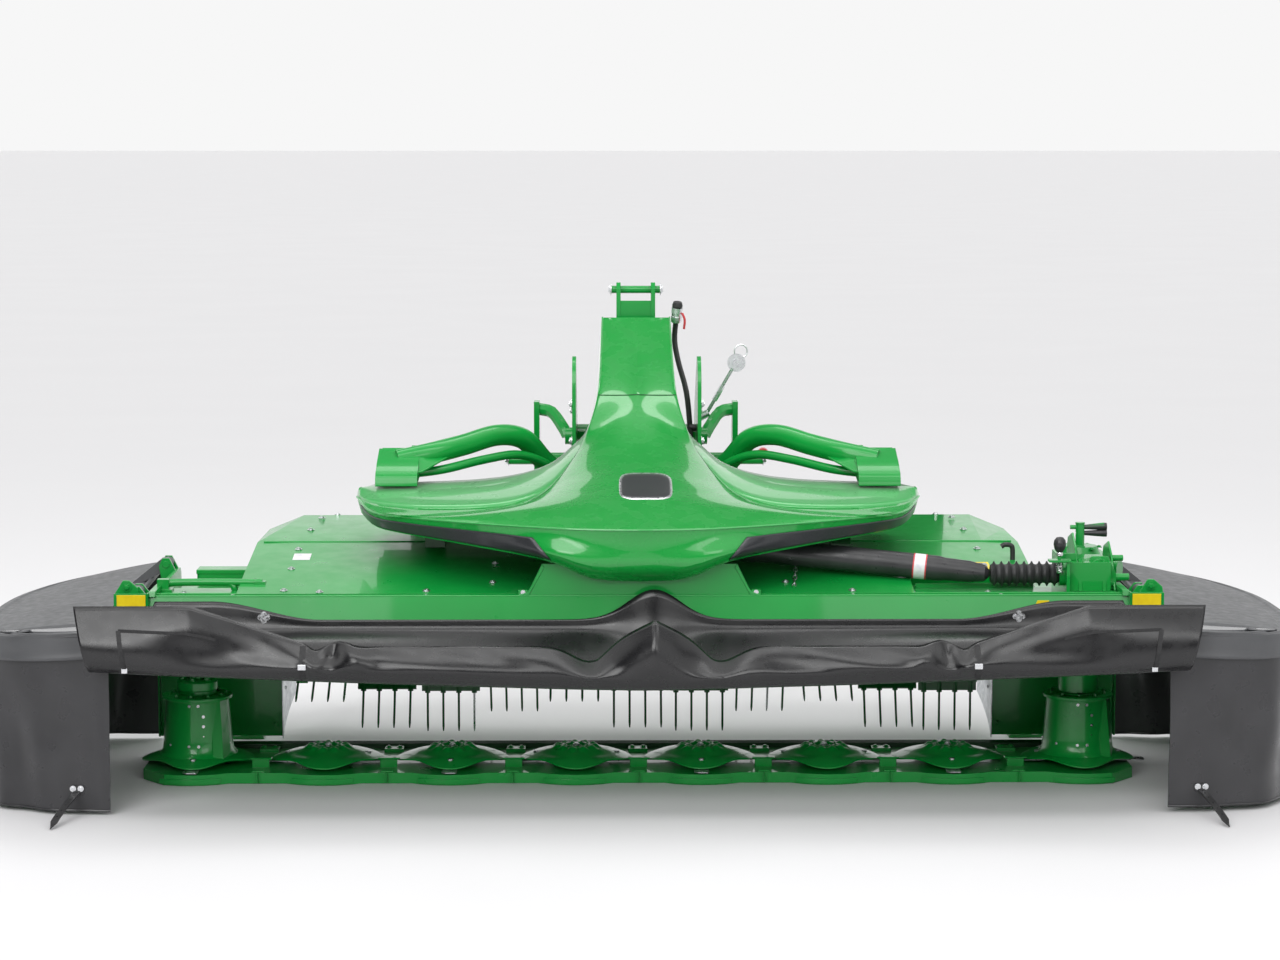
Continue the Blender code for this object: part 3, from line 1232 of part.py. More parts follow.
def build_hose():
    """The hydraulic hose with its coupler, clipped along the right of the neck."""
    plate = HEADSTOCK_HALF - HEADSTOCK_THICK - GAP
    route = [(plate - 0.020, 0.640, 0.900), (plate - 0.020, 0.690, 0.990), (0.164, 0.790, 1.100),
             (0.140, 0.870, 1.190), (0.128, 0.900, 1.260), (0.132, 0.880, 1.330)]
    clip = rod("hose_clip", (plate, 0.690, 0.990), (plate - 0.022, 0.690, 0.990), 0.012, STEEL, 12)
    hose = tube("hydraulic_hose", smooth(route, 4), HOSE_RADIUS, RUBBER, 2)
    coupler = rod("hose_coupler", (0.132, 0.882, 1.326), (0.136, 0.868, 1.380), 0.016, STEEL, 14)
    return combine(hose, [coupler, clip])


def main():
    build_cutter_bar()
    for number, x in enumerate(disc_positions(), 1):
        build_disc(number, x, math.pi / 2 * (number % 2))
    for tag, side in (("left", -1), ("right", 1)):
        end_disc_x = side * disc_positions()[-1]
        set_pivot(build_drum(f"drum_{tag}", end_disc_x, side), (end_disc_x, 0, 0))
        build_end_plate(tag, side)
        build_end_cover(tag, side)
        build_baffle(tag, side)
        build_crop_guide(tag, side)
        build_side_wall(tag, side)
        build_swath_plate(tag, side)
        build_stand(tag, side)
        for piece in (build_side_guard(tag, side), build_side_curtain(tag, side),
                      build_strap(tag, side)):
            set_pivot(piece, (side * HINGE_X, 0, HINGE_Z))
        build_arm(tag, side)
        build_link_bracket(tag, side)
    build_deck_beam()
    build_hood()
    build_rotor()
    build_front_curtain()
    build_carrier_beam(build_cowl())
    build_headstock()
    build_top_link_bracket()
    build_pedestal()
    build_centre_gearbox()
    build_input_guard()
    build_shaft_guard()
    build_bellows()
    build_right_gearbox()
    build_shift_lever()
    build_adjuster()
    build_tool_box()
    build_hose()


main()
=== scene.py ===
"""Front-mounted disc mower with a tine conditioner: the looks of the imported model.

Metres, +X to the right seen from the front, +Y back towards the tractor, +Z up, floor at zero.
The sections follow the mower as it is put together, from the cutter bar up to the hitch.
"""

import json
import math

import bmesh
import bpy
from mathutils import Matrix, Vector, noise
from mathutils.bvhtree import BVHTree


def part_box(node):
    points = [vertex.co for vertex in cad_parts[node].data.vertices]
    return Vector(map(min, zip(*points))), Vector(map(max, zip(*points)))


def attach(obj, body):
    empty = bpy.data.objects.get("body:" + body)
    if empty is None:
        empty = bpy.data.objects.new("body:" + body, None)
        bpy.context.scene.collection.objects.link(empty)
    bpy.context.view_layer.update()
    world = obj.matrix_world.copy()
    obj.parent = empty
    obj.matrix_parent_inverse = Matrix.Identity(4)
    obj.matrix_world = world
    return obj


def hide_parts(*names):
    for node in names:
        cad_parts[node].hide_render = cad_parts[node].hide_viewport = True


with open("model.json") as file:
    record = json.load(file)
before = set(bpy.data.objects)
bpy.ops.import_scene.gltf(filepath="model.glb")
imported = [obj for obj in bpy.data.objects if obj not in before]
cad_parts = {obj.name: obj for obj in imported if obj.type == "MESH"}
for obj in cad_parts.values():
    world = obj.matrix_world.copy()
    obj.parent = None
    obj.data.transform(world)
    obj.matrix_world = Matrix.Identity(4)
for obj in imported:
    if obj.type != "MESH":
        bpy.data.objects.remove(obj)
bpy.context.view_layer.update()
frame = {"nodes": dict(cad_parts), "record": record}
body_under = {
    node: body
    for body, nodes in frame["record"]["behaviour"]["bodies"].items()
    for node in nodes
}


# ---- Studio ---------------------------------------------------------------------------------------
# A pale seamless floor under soft boxes, looked at from a standing person's height in front of the
# mower's middle. Dark flags behind the mower stand in for the tractor in the paint's reflections.
camera = bpy.data.objects.new("camera", bpy.data.cameras.new("camera"))
camera.data.lens = 87.75
camera.data.sensor_width = 36.0
camera.data.clip_end = 1000.0
camera.location = (-0.084, -9.377, 1.937)
camera.rotation_euler = (math.radians(90 - 6.33), 0.0, math.radians(-0.545))
bpy.context.scene.collection.objects.link(camera)
bpy.context.scene.camera = camera
bpy.context.scene.view_settings.view_transform = "Standard"
bpy.context.scene.view_settings.look = "None"


def new_material(name, colour, roughness, metallic=0.0):
    """A material with its shader and node helpers ready."""
    made = bpy.data.materials.new(name)
    made.use_nodes = True
    shader = made.node_tree.nodes["Principled BSDF"]
    shader.inputs["Base Color"].default_value = (*colour, 1.0)
    shader.inputs["Roughness"].default_value = roughness
    shader.inputs["Metallic"].default_value = metallic
    return made, made.node_tree.nodes, made.node_tree.links, shader


def add_noise(nodes, links, source, scale, detail=3.0, rough=0.5):
    """Noise on the given coordinates."""
    made = nodes.new("ShaderNodeTexNoise")
    made.inputs["Scale"].default_value = scale
    made.inputs["Detail"].default_value = detail
    made.inputs["Roughness"].default_value = rough
    links.new(source, made.inputs["Vector"])
    return made.outputs["Fac"]


def ranged(nodes, links, source, low, high, start=0.3, end=0.7):
    """A value between start and end carried over to between low and high."""
    made = nodes.new("ShaderNodeMapRange")
    for name, value in (("From Min", start), ("From Max", end), ("To Min", low), ("To Max", high)):
        made.inputs[name].default_value = value
    links.new(source, made.inputs["Value"])
    return made.outputs["Result"]


def tinted(nodes, links, shader, amount, colour, other):
    """The base colour goes from one colour to another with the amount."""
    made = nodes.new("ShaderNodeMix")
    made.data_type = "RGBA"
    made.inputs["A"].default_value = (*colour, 1.0)
    made.inputs["B"].default_value = (*other, 1.0)
    links.new(amount, made.inputs["Factor"])
    links.new(made.outputs["Result"], shader.inputs["Base Color"])


def bumped(nodes, links, shader, height, strength, distance=0.001, edge=0.0):
    """A fine relief, with worn-round edges where edge is a radius."""
    bump = nodes.new("ShaderNodeBump")
    bump.inputs["Strength"].default_value = strength
    bump.inputs["Distance"].default_value = distance
    links.new(height, bump.inputs["Height"])
    if edge:
        rounding = nodes.new("ShaderNodeBevel")
        rounding.samples = 4
        rounding.inputs["Radius"].default_value = edge
        links.new(rounding.outputs["Normal"], bump.inputs["Normal"])
    links.new(bump.outputs["Normal"], shader.inputs["Normal"])


floor_form = bmesh.new()
bmesh.ops.create_grid(floor_form, x_segments=2, y_segments=2, size=350.0)
floor_mesh = bpy.data.meshes.new("studio_floor")
floor_form.to_mesh(floor_mesh)
floor_form.free()
floor_mesh.transform(Matrix.Translation((0, 0, -0.0006)))
floor_finish, nodes, links, shader = new_material("studio_floor", (0.70, 0.695, 0.705), 0.60)
spots = add_noise(nodes, links, nodes.new("ShaderNodeTexCoord").outputs["Object"], 0.7)
links.new(ranged(nodes, links, spots, 0.55, 0.65), shader.inputs["Roughness"])
floor_mesh.materials.append(floor_finish)
floor = bpy.data.objects.new("studio_floor", floor_mesh)
bpy.context.scene.collection.objects.link(floor)

flag_finish, nodes, links, shader = new_material("studio_flag", (0.02, 0.03, 0.02), 0.9)


def flag(name, x, y, width, low, high):
    """A dark card that only shows in reflections, as the tractor behind the mower would."""
    form = bmesh.new()
    form.faces.new([form.verts.new((a, y, b)) for a, b in
                    ((x - width / 2, low), (x + width / 2, low), (x + width / 2, high),
                     (x - width / 2, high))])
    data = bpy.data.meshes.new(name)
    form.to_mesh(data)
    form.free()
    data.materials.append(flag_finish)
    card = bpy.data.objects.new(name, data)
    bpy.context.scene.collection.objects.link(card)
    card.visible_camera = card.visible_diffuse = card.visible_shadow = False


flag("flag_low", 0.13, 0.60, 1.72, 0.72, 1.00)
flag("flag_high", 0.0, 2.40, 6.40, 2.20, 4.55)

world = bpy.data.worlds.new("studio")
bpy.context.scene.world = world
world.use_nodes = True
nodes, links = world.node_tree.nodes, world.node_tree.links
background = nodes["Background"]
direction = nodes.new("ShaderNodeSeparateXYZ")
links.new(nodes.new("ShaderNodeTexCoord").outputs["Generated"], direction.inputs["Vector"])
rear_wall = ranged(nodes, links, direction.outputs["Y"], 0.0, 1.00, -0.20, 0.15)
ceiling = ranged(nodes, links, direction.outputs["Z"], 0.015, 0.40, 0.55, 0.95)
surround = nodes.new("ShaderNodeMath")
surround.operation = "ADD"
links.new(ceiling, surround.inputs[0])
links.new(rear_wall, surround.inputs[1])
seen = nodes.new("ShaderNodeMix")
seen.inputs["B"].default_value = 0.93
links.new(nodes.new("ShaderNodeLightPath").outputs["Is Camera Ray"], seen.inputs["Factor"])
links.new(surround.outputs["Value"], seen.inputs["A"])
links.new(seen.outputs["Result"], background.inputs["Strength"])
background.inputs["Color"].default_value = (1.0, 1.0, 1.0, 1.0)


def soft_box(name, place, target, width, height, power):
    """A rectangular studio light aimed at a point."""
    data = bpy.data.lights.new(name, "AREA")
    data.shape = "RECTANGLE"
    data.size, data.size_y, data.energy = width, height, power
    light = bpy.data.objects.new(name, data)
    light.location = place
    light.rotation_euler = (Vector(target) - Vector(place)).to_track_quat("-Z", "Y").to_euler()
    bpy.context.scene.collection.objects.link(light)


def sun(name, way, strength, spread):
    """A very soft far light along a direction."""
    data = bpy.data.lights.new(name, "SUN")
    data.energy, data.angle = strength, math.radians(spread)
    light = bpy.data.objects.new(name, data)
    light.rotation_euler = Vector(way).to_track_quat("-Z", "Y").to_euler()
    bpy.context.scene.collection.objects.link(light)


soft_box("soft_box_back", (0.0, 2.9, 5.6), (0, 0.4, 1.2), 4.4, 1.9, 75)
soft_box("soft_box_top", (0.0, -1.4, 4.2), (0, -0.3, 0.5), 6.0, 1.1, 62)
soft_box("soft_box_left", (-2.75, -6.6, 3.0), (-1.2, 0, 0.6), 3.2, 1.9, 52)
soft_box("soft_box_right", (2.55, -6.6, 3.0), (1.2, 0, 0.6), 3.2, 1.9, 48)
sun("key", (0.30, 0.80, -0.62), 1.55, 40.0)
sun("fill", (-0.55, 0.62, -0.50), 0.85, 60.0)



# ---- Cutter bar -----------------------------------------------------------------------------------
# The flat gear housing that carries the discs: bolted bed modules of painted steel with a rounded
# nose in front of each disc. It is sprayed green in one coat, clear-coated and shiny.
def painted(name, colour, other, roughness=0.32, coat=0.45, edge=0.0025):
    """Sprayed enamel: slightly uneven colour, orange peel, rounded edges and a clear coat."""
    made, nodes, links, shader = new_material(name, colour, roughness)
    spot = nodes.new("ShaderNodeTexCoord").outputs["Object"]
    tinted(nodes, links, shader,
           ranged(nodes, links, add_noise(nodes, links, spot, 3.1), 0.0, 1.0), colour, other)
    links.new(ranged(nodes, links, add_noise(nodes, links, spot, 17.0, 4.0),
                     roughness - 0.05, roughness + 0.07), shader.inputs["Roughness"])
    bumped(nodes, links, shader, add_noise(nodes, links, spot, 260.0, 1.0), 0.035, 0.0004, edge)
    shader.inputs["Specular IOR Level"].default_value = 0.32
    shader.inputs["Coat Weight"].default_value = coat
    shader.inputs["Coat Roughness"].default_value = 0.04
    return made


def add_box(form, low, high):
    """A block between two corners."""
    low, high = Vector(low), Vector(high)
    for vert in bmesh.ops.create_cube(form, size=1.0)["verts"]:
        vert.co = Vector(a * b for a, b in zip(vert.co, high - low)) + (low + high) / 2


def add_rod(form, start, end, radius, end_radius=None, sides=24):
    """A round bar or cone between two points."""
    start, end = Vector(start), Vector(end)
    made = bmesh.ops.create_cone(form, cap_ends=True, segments=sides, radius1=radius,
                                 radius2=radius if end_radius is None else end_radius,
                                 depth=(end - start).length)["verts"]
    turn = (end - start).to_track_quat("Z", "Y").to_matrix().to_4x4()
    bmesh.ops.transform(form, matrix=Matrix.Translation((start + end) / 2) @ turn, verts=made)


def add_slab(form, outline, axis, start, end):
    """A flat outline cut from plate, its thickness along an axis."""
    along = {"X": lambda a, b, t: (t, a, b), "Y": lambda a, b, t: (a, t, b),
             "Z": lambda a, b, t: (a, b, t)}[axis]
    near = [form.verts.new(along(a, b, start)) for a, b in outline]
    far = [form.verts.new(along(a, b, end)) for a, b in outline]
    count = len(outline)
    faces = [form.faces.new((near[i], near[(i + 1) % count], far[(i + 1) % count], far[i]))
             for i in range(count)]
    faces += [form.faces.new(near), form.faces.new(far)]
    bmesh.ops.recalc_face_normals(form, faces=faces)


def add_turned(form, profile, centre, axis=(0, 0, 1), steps=48):
    """A turned shape: (radius, height) pairs spun round an axis through the centre."""
    place = Matrix.Translation(centre) @ Vector(axis).to_track_quat("Z", "Y").to_matrix().to_4x4()
    rings = []
    for radius, height in profile:
        if radius < 1e-7:
            rings.append([form.verts.new(place @ Vector((0, 0, height)))])
            continue
        rings.append([form.verts.new(place @ Vector((radius * math.cos(math.tau * i / steps),
                                                     radius * math.sin(math.tau * i / steps), height)))
                      for i in range(steps)])
    faces = []
    for a, b in zip(rings, rings[1:]):
        for i in range(steps):
            k = (i + 1) % steps
            corners = [a[i % len(a)], a[k % len(a)], b[k % len(b)], b[i % len(b)]]
            corners = list(dict.fromkeys(corners))
            if len(corners) > 2:
                faces.append(form.faces.new(corners))
    bmesh.ops.recalc_face_normals(form, faces=faces)


def smooth(points, steps):
    """A smooth path through the given points."""
    points = [Vector(p) for p in points]
    ends = [2 * points[0] - points[1], *points, 2 * points[-1] - points[-2]]
    path = []
    for i in range(len(points) - 1):
        p0, p1, p2, p3 = ends[i:i + 4]
        for k in range(steps):
            t = k / steps
            path.append(0.5 * (2 * p1 + (p2 - p0) * t + (2 * p0 - 5 * p1 + 4 * p2 - p3) * t**2
                               + (3 * p1 - p0 - 3 * p2 + p3) * t**3))
    return [*path, points[-1]]


def add_tube(form, path, radius, sides=16, flat=1.0):
    """A bent bar along a path, round or flattened."""
    path = [Vector(p) for p in path]
    rings = []
    side = None
    for i, point in enumerate(path):
        ahead = (path[min(i + 1, len(path) - 1)] - path[max(i - 1, 0)]).normalized()
        if side is None:
            side = ahead.cross(Vector((0, 0, 1)) if abs(ahead.z) < 0.9 else Vector((1, 0, 0)))
        side = (side - ahead * side.dot(ahead)).normalized()
        up = side.cross(ahead)
        reach = radius[i] if hasattr(radius, "__len__") else radius
        rings.append([form.verts.new(point + side * reach * math.cos(math.tau * k / sides)
                                     + up * reach * flat * math.sin(math.tau * k / sides))
                      for k in range(sides)])
    faces = [form.faces.new(rings[0]), form.faces.new(rings[-1])]
    for a, b in zip(rings, rings[1:]):
        faces += [form.faces.new((a[k], a[(k + 1) % sides], b[(k + 1) % sides], b[k]))
                  for k in range(sides)]
    bmesh.ops.recalc_face_normals(form, faces=faces)


def make(form, name, body, finish, sharp=35.0, bevel=0.0, stands_for=(), turn_out=True):
    """The finished piece from its shape: joined corners, edges, finish, and the body it moves with."""
    bmesh.ops.remove_doubles(form, verts=form.verts, dist=1e-6)
    if turn_out:
        bmesh.ops.recalc_face_normals(form, faces=form.faces)
    data = bpy.data.meshes.new(name)
    form.to_mesh(data)
    form.free()
    data.materials.append(finish)
    data.shade_smooth()
    piece = bpy.data.objects.new(name, data)
    bpy.context.scene.collection.objects.link(piece)
    if bevel:
        rounding = piece.modifiers.new("edges", "BEVEL")
        rounding.width = bevel
        rounding.segments = 2
        rounding.limit_method = "ANGLE"
        rounding.angle_limit = math.radians(32)
        rounding.harden_normals = True
    else:
        data.set_sharp_from_angle(angle=math.radians(sharp))
    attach(piece, body)
    if stands_for:
        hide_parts(*stands_for)
    return piece


def carry(node, finish, sharp=35.0):
    """A node's own shape with its corners joined, so that its round faces shade smoothly."""
    source = frame["nodes"][node].data
    source.calc_loop_triangles()
    form = bmesh.new()
    verts = [form.verts.new(vert.co) for vert in source.vertices]
    for triangle in source.loop_triangles:
        form.faces.new([verts[i] for i in triangle.vertices])
    bmesh.ops.remove_doubles(form, verts=form.verts, dist=1e-5)
    return make(form, node + "_shown", body_under[node], finish, sharp,
                stands_for=(node,), turn_out=False)


GREEN, DEEP_GREEN = (0.003, 0.290, 0.042), (0.003, 0.255, 0.036)
green_paint = painted("green_enamel", GREEN, DEEP_GREEN)
carry("cutter_bar", green_paint)

disc_x = [-1.341, -0.945, -0.567, -0.189, 0.189, 0.567, 0.945, 1.341]
between_discs = [(a + b) / 2 for a, b in zip(disc_x, disc_x[1:])]
BAR_TOP = 0.032
VALLEY = -0.165
form = bmesh.new()
for x in between_discs:
    add_box(form, (x - 0.026, -0.080, BAR_TOP - 0.004), (x + 0.026, -0.070, BAR_TOP + 0.026))
    add_box(form, (x - 0.034, -0.084, BAR_TOP + 0.024), (x + 0.034, -0.060, BAR_TOP + 0.029))
    add_slab(form, [(x - 0.020, VALLEY + 0.010), (x + 0.020, VALLEY + 0.010),
                    (x + 0.012, -0.100), (x - 0.012, -0.100)], "Z", BAR_TOP - 0.004, BAR_TOP + 0.004)
    add_box(form, (x - 0.030, 0.150, BAR_TOP - 0.004), (x + 0.030, 0.205, BAR_TOP + 0.010))
make(form, "bar_module_blocks", "frame", green_paint, bevel=0.0025)
# Low crop shields run along the back of the bar from module to module, painted nearly black.
form = bmesh.new()
for a, b in zip(disc_x, disc_x[1:]):
    add_slab(form, [(0.212, BAR_TOP - 0.002), (0.250, BAR_TOP - 0.002), (0.250, BAR_TOP + 0.012),
                    (0.236, BAR_TOP + 0.020), (0.212, BAR_TOP + 0.014)], "X", a + 0.012, b - 0.012)
shield_paint = painted("near_black_shield_paint", (0.004, 0.035, 0.010), (0.006, 0.060, 0.014), 0.40, 0.25)
make(form, "bar_rear_shields", "frame", shield_paint, bevel=0.002)

# Wear strips: a rolled bead along the bar's nose, welded under each lobe.
form = bmesh.new()
for x in disc_x:
    span = [math.radians(a) for a in range(-118, -61, 6)]
    inner = [(x + 0.1995 * math.cos(a), 0.1995 * math.sin(a)) for a in span]
    outer = [(x + 0.2035 * math.cos(a), 0.2035 * math.sin(a)) for a in reversed(span)]
    add_slab(form, inner + outer, "Z", 0.004, 0.019)
for x in between_discs:
    add_box(form, (x - 0.0012, VALLEY - 0.0165, 0.003), (x + 0.0012, VALLEY + 0.010, BAR_TOP + 0.0008))
make(form, "bar_nose_strips", "frame", green_paint, bevel=0.0008)


# ---- Fixings --------------------------------------------------------------------------------------
# Zinc-plated hexagon bolts on washers, the same all over the mower. One node tree sets a head on
# every place it is given, turned to the way that place faces.
bare_steel, nodes, links, shader = new_material("zinc_plated_steel", (0.72, 0.73, 0.75), 0.28, 1.0)
spot = nodes.new("ShaderNodeTexCoord").outputs["Object"]
links.new(ranged(nodes, links, add_noise(nodes, links, spot, 160.0), 0.20, 0.42),
          shader.inputs["Roughness"])
bumped(nodes, links, shader, add_noise(nodes, links, spot, 700.0), 0.15, 0.0003)


def bolt_tree():
    """Hexagon heads with washers, one at each point, along the point's own facing."""
    tree = bpy.data.node_groups.new("bolt_heads", "GeometryNodeTree")
    face = tree.interface
    face.new_socket("Places", in_out="INPUT", socket_type="NodeSocketGeometry")
    for name, size in (("Head radius", 0.008), ("Head height", 0.006), ("Washer radius", 0.013)):
        face.new_socket(name, in_out="INPUT", socket_type="NodeSocketFloat").default_value = size
    face.new_socket("Finish", in_out="INPUT", socket_type="NodeSocketMaterial")
    face.new_socket("Bolts", in_out="OUTPUT", socket_type="NodeSocketGeometry")
    nodes, links = tree.nodes, tree.links
    given, result = nodes.new("NodeGroupInput"), nodes.new("NodeGroupOutput")
    parts = nodes.new("GeometryNodeJoinGeometry")

    def disc(sides, radius, height, low):
        """One turned layer of the head, from a height upwards."""
        layer = nodes.new("GeometryNodeMeshCylinder")
        layer.inputs["Vertices"].default_value = sides
        links.new(radius, layer.inputs["Radius"])
        links.new(height, layer.inputs["Depth"])
        lift = nodes.new("ShaderNodeMath")
        lift.operation = "MULTIPLY_ADD"
        lift.inputs[1].default_value = 0.5
        lift.inputs[2].default_value = low
        links.new(height, lift.inputs[0])
        offset = nodes.new("ShaderNodeCombineXYZ")
        links.new(lift.outputs["Value"], offset.inputs["Z"])
        moved = nodes.new("GeometryNodeTransform")
        links.new(layer.outputs["Mesh"], moved.inputs["Geometry"])
        links.new(offset.outputs["Vector"], moved.inputs["Translation"])
        links.new(moved.outputs["Geometry"], parts.inputs["Geometry"])

    def times(value, factor):
        made = nodes.new("ShaderNodeMath")
        made.operation = "MULTIPLY"
        made.inputs[1].default_value = factor
        links.new(value, made.inputs[0])
        return made.outputs["Value"]

    disc(6, given.outputs["Head radius"], given.outputs["Head height"], 0.0)
    disc(16, given.outputs["Washer radius"], times(given.outputs["Head height"], 0.28), 0.0)
    disc(12, times(given.outputs["Head radius"], 0.62), times(given.outputs["Head height"], 1.25), 0.0)
    facing = nodes.new("GeometryNodeInputNamedAttribute")
    facing.data_type = "FLOAT_VECTOR"
    facing.inputs["Name"].default_value = "facing"
    aim = nodes.new("FunctionNodeAlignRotationToVector")
    aim.axis = "Z"
    links.new(facing.outputs["Attribute"], aim.inputs["Vector"])
    setting = nodes.new("GeometryNodeInstanceOnPoints")
    links.new(given.outputs["Places"], setting.inputs["Points"])
    links.new(parts.outputs["Geometry"], setting.inputs["Instance"])
    links.new(aim.outputs["Rotation"], setting.inputs["Rotation"])
    whole = nodes.new("GeometryNodeRealizeInstances")
    links.new(setting.outputs["Instances"], whole.inputs["Geometry"])
    finish = nodes.new("GeometryNodeSetMaterial")
    links.new(whole.outputs["Geometry"], finish.inputs["Geometry"])
    links.new(given.outputs["Finish"], finish.inputs["Material"])
    links.new(finish.outputs["Geometry"], result.inputs["Bolts"])
    return tree


bolt_heads = bolt_tree()


def set_out(name, tree, places, body, slot="", **sizes):
    """Runs a node tree over places, each (point, facing), and keeps the result as a plain mesh."""
    cloud = bpy.data.meshes.new(name)
    cloud.from_pydata([place for place, _ in places], [], [])
    facing = cloud.attributes.new("facing", "FLOAT_VECTOR", "POINT")
    facing.data.foreach_set("vector", [c for _, way in places for c in Vector(way).normalized()])
    holder = bpy.data.objects.new(name, cloud)
    bpy.context.scene.collection.objects.link(holder)
    growing = holder.modifiers.new("growing", "NODES")
    growing.node_group = tree
    for item in tree.interface.items_tree:
        if item.in_out == "INPUT" and item.name in sizes:
            growing[item.identifier] = sizes[item.name]
    bpy.context.view_layer.update()
    grown = bpy.data.meshes.new_from_object(
        holder.evaluated_get(bpy.context.evaluated_depsgraph_get()))
    grown.name = name
    holder.modifiers.remove(growing)
    holder.data = grown
    grown.shade_smooth()
    grown.set_sharp_from_angle(angle=math.radians(30))
    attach(holder, body)
    return holder


def bolts(name, places, body="frame", radius=0.008, height=0.006, finish=None):
    """A set of bolt heads as one piece."""
    return set_out(name, bolt_heads, places, body,
                   **{"Head radius": radius, "Head height": height, "Washer radius": radius * 1.55,
                      "Finish": finish or bare_steel})


bolts("bar_module_bolts", [((x + dx, y, z), (0, 0, 1)) for x in between_discs
                           for dx, y, z in ((-0.017, 0.178, 0.042), (0.017, 0.178, 0.042))],
      radius=0.0065, height=0.005, finish=green_paint)


def circle_places(x, y, z, radius, angles, facing=None):
    """Bolt places on a level circle. Without a facing they look outwards and a little up."""
    places = []
    for angle in angles:
        out = (math.cos(angle), math.sin(angle))
        places.append(((x + radius * out[0], y + radius * out[1], z), facing or (*out, 0.1)))
    return places


# ---- Cutting discs --------------------------------------------------------------------------------
# Pressed spring-steel discs with four blunt corners dished down to the rim, a scalloped hub cup
# with one bright nut, and two swinging knives underneath. Painted; the knives are bare steel.
DISC_REACH, RIM_Z, HUB_Z = 0.171, 0.0420, 0.083
knife_steel, nodes, links, shader = new_material("ground_knife_steel", (0.50, 0.50, 0.52), 0.30, 1.0)
spot = nodes.new("ShaderNodeTexCoord").outputs["Object"]
links.new(ranged(nodes, links, add_noise(nodes, links, spot, 90.0), 0.22, 0.45),
          shader.inputs["Roughness"])
bumped(nodes, links, shader, add_noise(nodes, links, spot, 500.0), 0.2, 0.0003)


def disc_height(radius, angle):
    """Height of the disc's skin: a raised ring of petals round the cup, then a cone whose rim dips
    at the four corners."""
    wave = 0.5 + 0.5 * math.cos(4 * angle)
    share = max(0.0, (radius - 0.050) / (DISC_REACH - 0.050))
    cone = HUB_Z + 0.001 - (HUB_Z + 0.001 - RIM_Z - 0.0045) * (0.80 * share + 0.20 * share * share)
    lobe = (0.5 + 0.5 * math.cos(11 * angle + 0.6)) ** 0.7
    petal = 0.0080 * math.exp(-((radius - 0.060) / 0.011) ** 2) * lobe
    return cone + petal + 0.0030 * (1 - wave) * share * share - 0.004 * math.exp(
        -((radius - 0.100) / 0.018) ** 2) * (1 - wave)


for number, x in enumerate(disc_x, 1):
    body = f"disc_{number}"
    form = bmesh.new()
    around, out = 120, 26
    skin, under = [], []
    for ring in range(out + 1):
        share = ring / out
        top_ring, low_ring = [], []
        for i in range(around):
            angle = math.tau * i / around
            corner = 0.5 - 0.5 * math.cos(4 * angle)
            reach = DISC_REACH * (1.0 - 0.17 * corner)
            radius = 0.040 + (reach - 0.040) * share
            z = disc_height(radius, angle)
            thick = 0.0042 if share > 0.5 else 0.0042 + 0.010 * (0.5 - share)
            top_ring.append(form.verts.new((x + radius * math.cos(angle), radius * math.sin(angle), z)))
            low_ring.append(form.verts.new((x + radius * math.cos(angle), radius * math.sin(angle),
                                            z - thick)))
        skin.append(top_ring)
        under.append(low_ring)
    rings = [*skin, *reversed(under)]
    for a, b in zip(rings, [*rings[1:], rings[0]]):
        for i in range(around):
            k = (i + 1) % around
            form.faces.new((a[i], a[k], b[k], b[i]))
    make(form, f"disc_{number}_plate", body, green_paint, 50.0,
         stands_for=(f"disc_{number}",))
    form = bmesh.new()
    around = 80
    layers = []
    for radius, z, scallop in ((0.0, HUB_Z - 0.006, 0.0), (0.027, HUB_Z - 0.006, 0.0),
                               (0.031, HUB_Z + 0.0030, 0.0), (0.038, HUB_Z + 0.0045, 0.0008),
                               (0.0445, HUB_Z + 0.0015, 0.0020), (0.047, HUB_Z - 0.014, 0.0010),
                               (0.046, BAR_TOP + 0.0008, 0.0), (0.0, BAR_TOP + 0.0008, 0.0)):
        if radius == 0.0:
            layers.append([form.verts.new((x, 0, z))])
        else:
            ring = []
            for i in range(around):
                angle = math.tau * i / around
                reach = radius + scallop * math.cos(8 * math.tau * i / around)
                ring.append(form.verts.new((x + reach * math.cos(angle), reach * math.sin(angle), z)))
            layers.append(ring)
    for a, b in zip(layers, layers[1:]):
        for i in range(around):
            k = (i + 1) % around
            corners = list(dict.fromkeys((a[i % len(a)], a[k % len(a)], b[k % len(b)], b[i % len(b)])))
            form.faces.new(corners)
    make(form, f"disc_{number}_cup", body, green_paint, 40.0)
    if number not in (1, 8):
        bolts(f"disc_{number}_nut", [((x, 0, HUB_Z - 0.006), (0, 0, 1))], body, 0.0105, 0.011)
        bolts(f"disc_{number}_cup_screws",
              circle_places(x, 0.0, HUB_Z + 0.0042, 0.0365,
                            [math.tau * k / 8 + 0.39 for k in range(8)], (0, 0, 1)),
              body, 0.0030, 0.0022, green_paint)
    form = bmesh.new()
    turn = math.pi / 2 * (number % 2)
    low = BAR_TOP + 0.0045
    for half_turn in (0, math.pi):
        spin = Matrix.Rotation(turn + half_turn, 3, "Z")
        made_before = set(form.verts)
        for near, far in (((0.100, -0.020), (0.100, 0.020)),):
            outline = [near, (0.193, -0.024), (0.205, -0.012), (0.205, 0.018), (0.196, 0.022), far]
            add_slab(form, outline, "Z", low, low + 0.004)
        add_rod(form, (0.122, 0, low + 0.001), (0.122, 0, RIM_Z + 0.0245), 0.010, sides=6)
        fresh = [vert for vert in form.verts if vert not in made_before]
        bmesh.ops.rotate(form, verts=fresh, cent=(0, 0, 0), matrix=spin)
        bmesh.ops.translate(form, verts=fresh, vec=(x, 0, 0))
    make(form, f"disc_{number}_knives", body, knife_steel, bevel=0.0012)


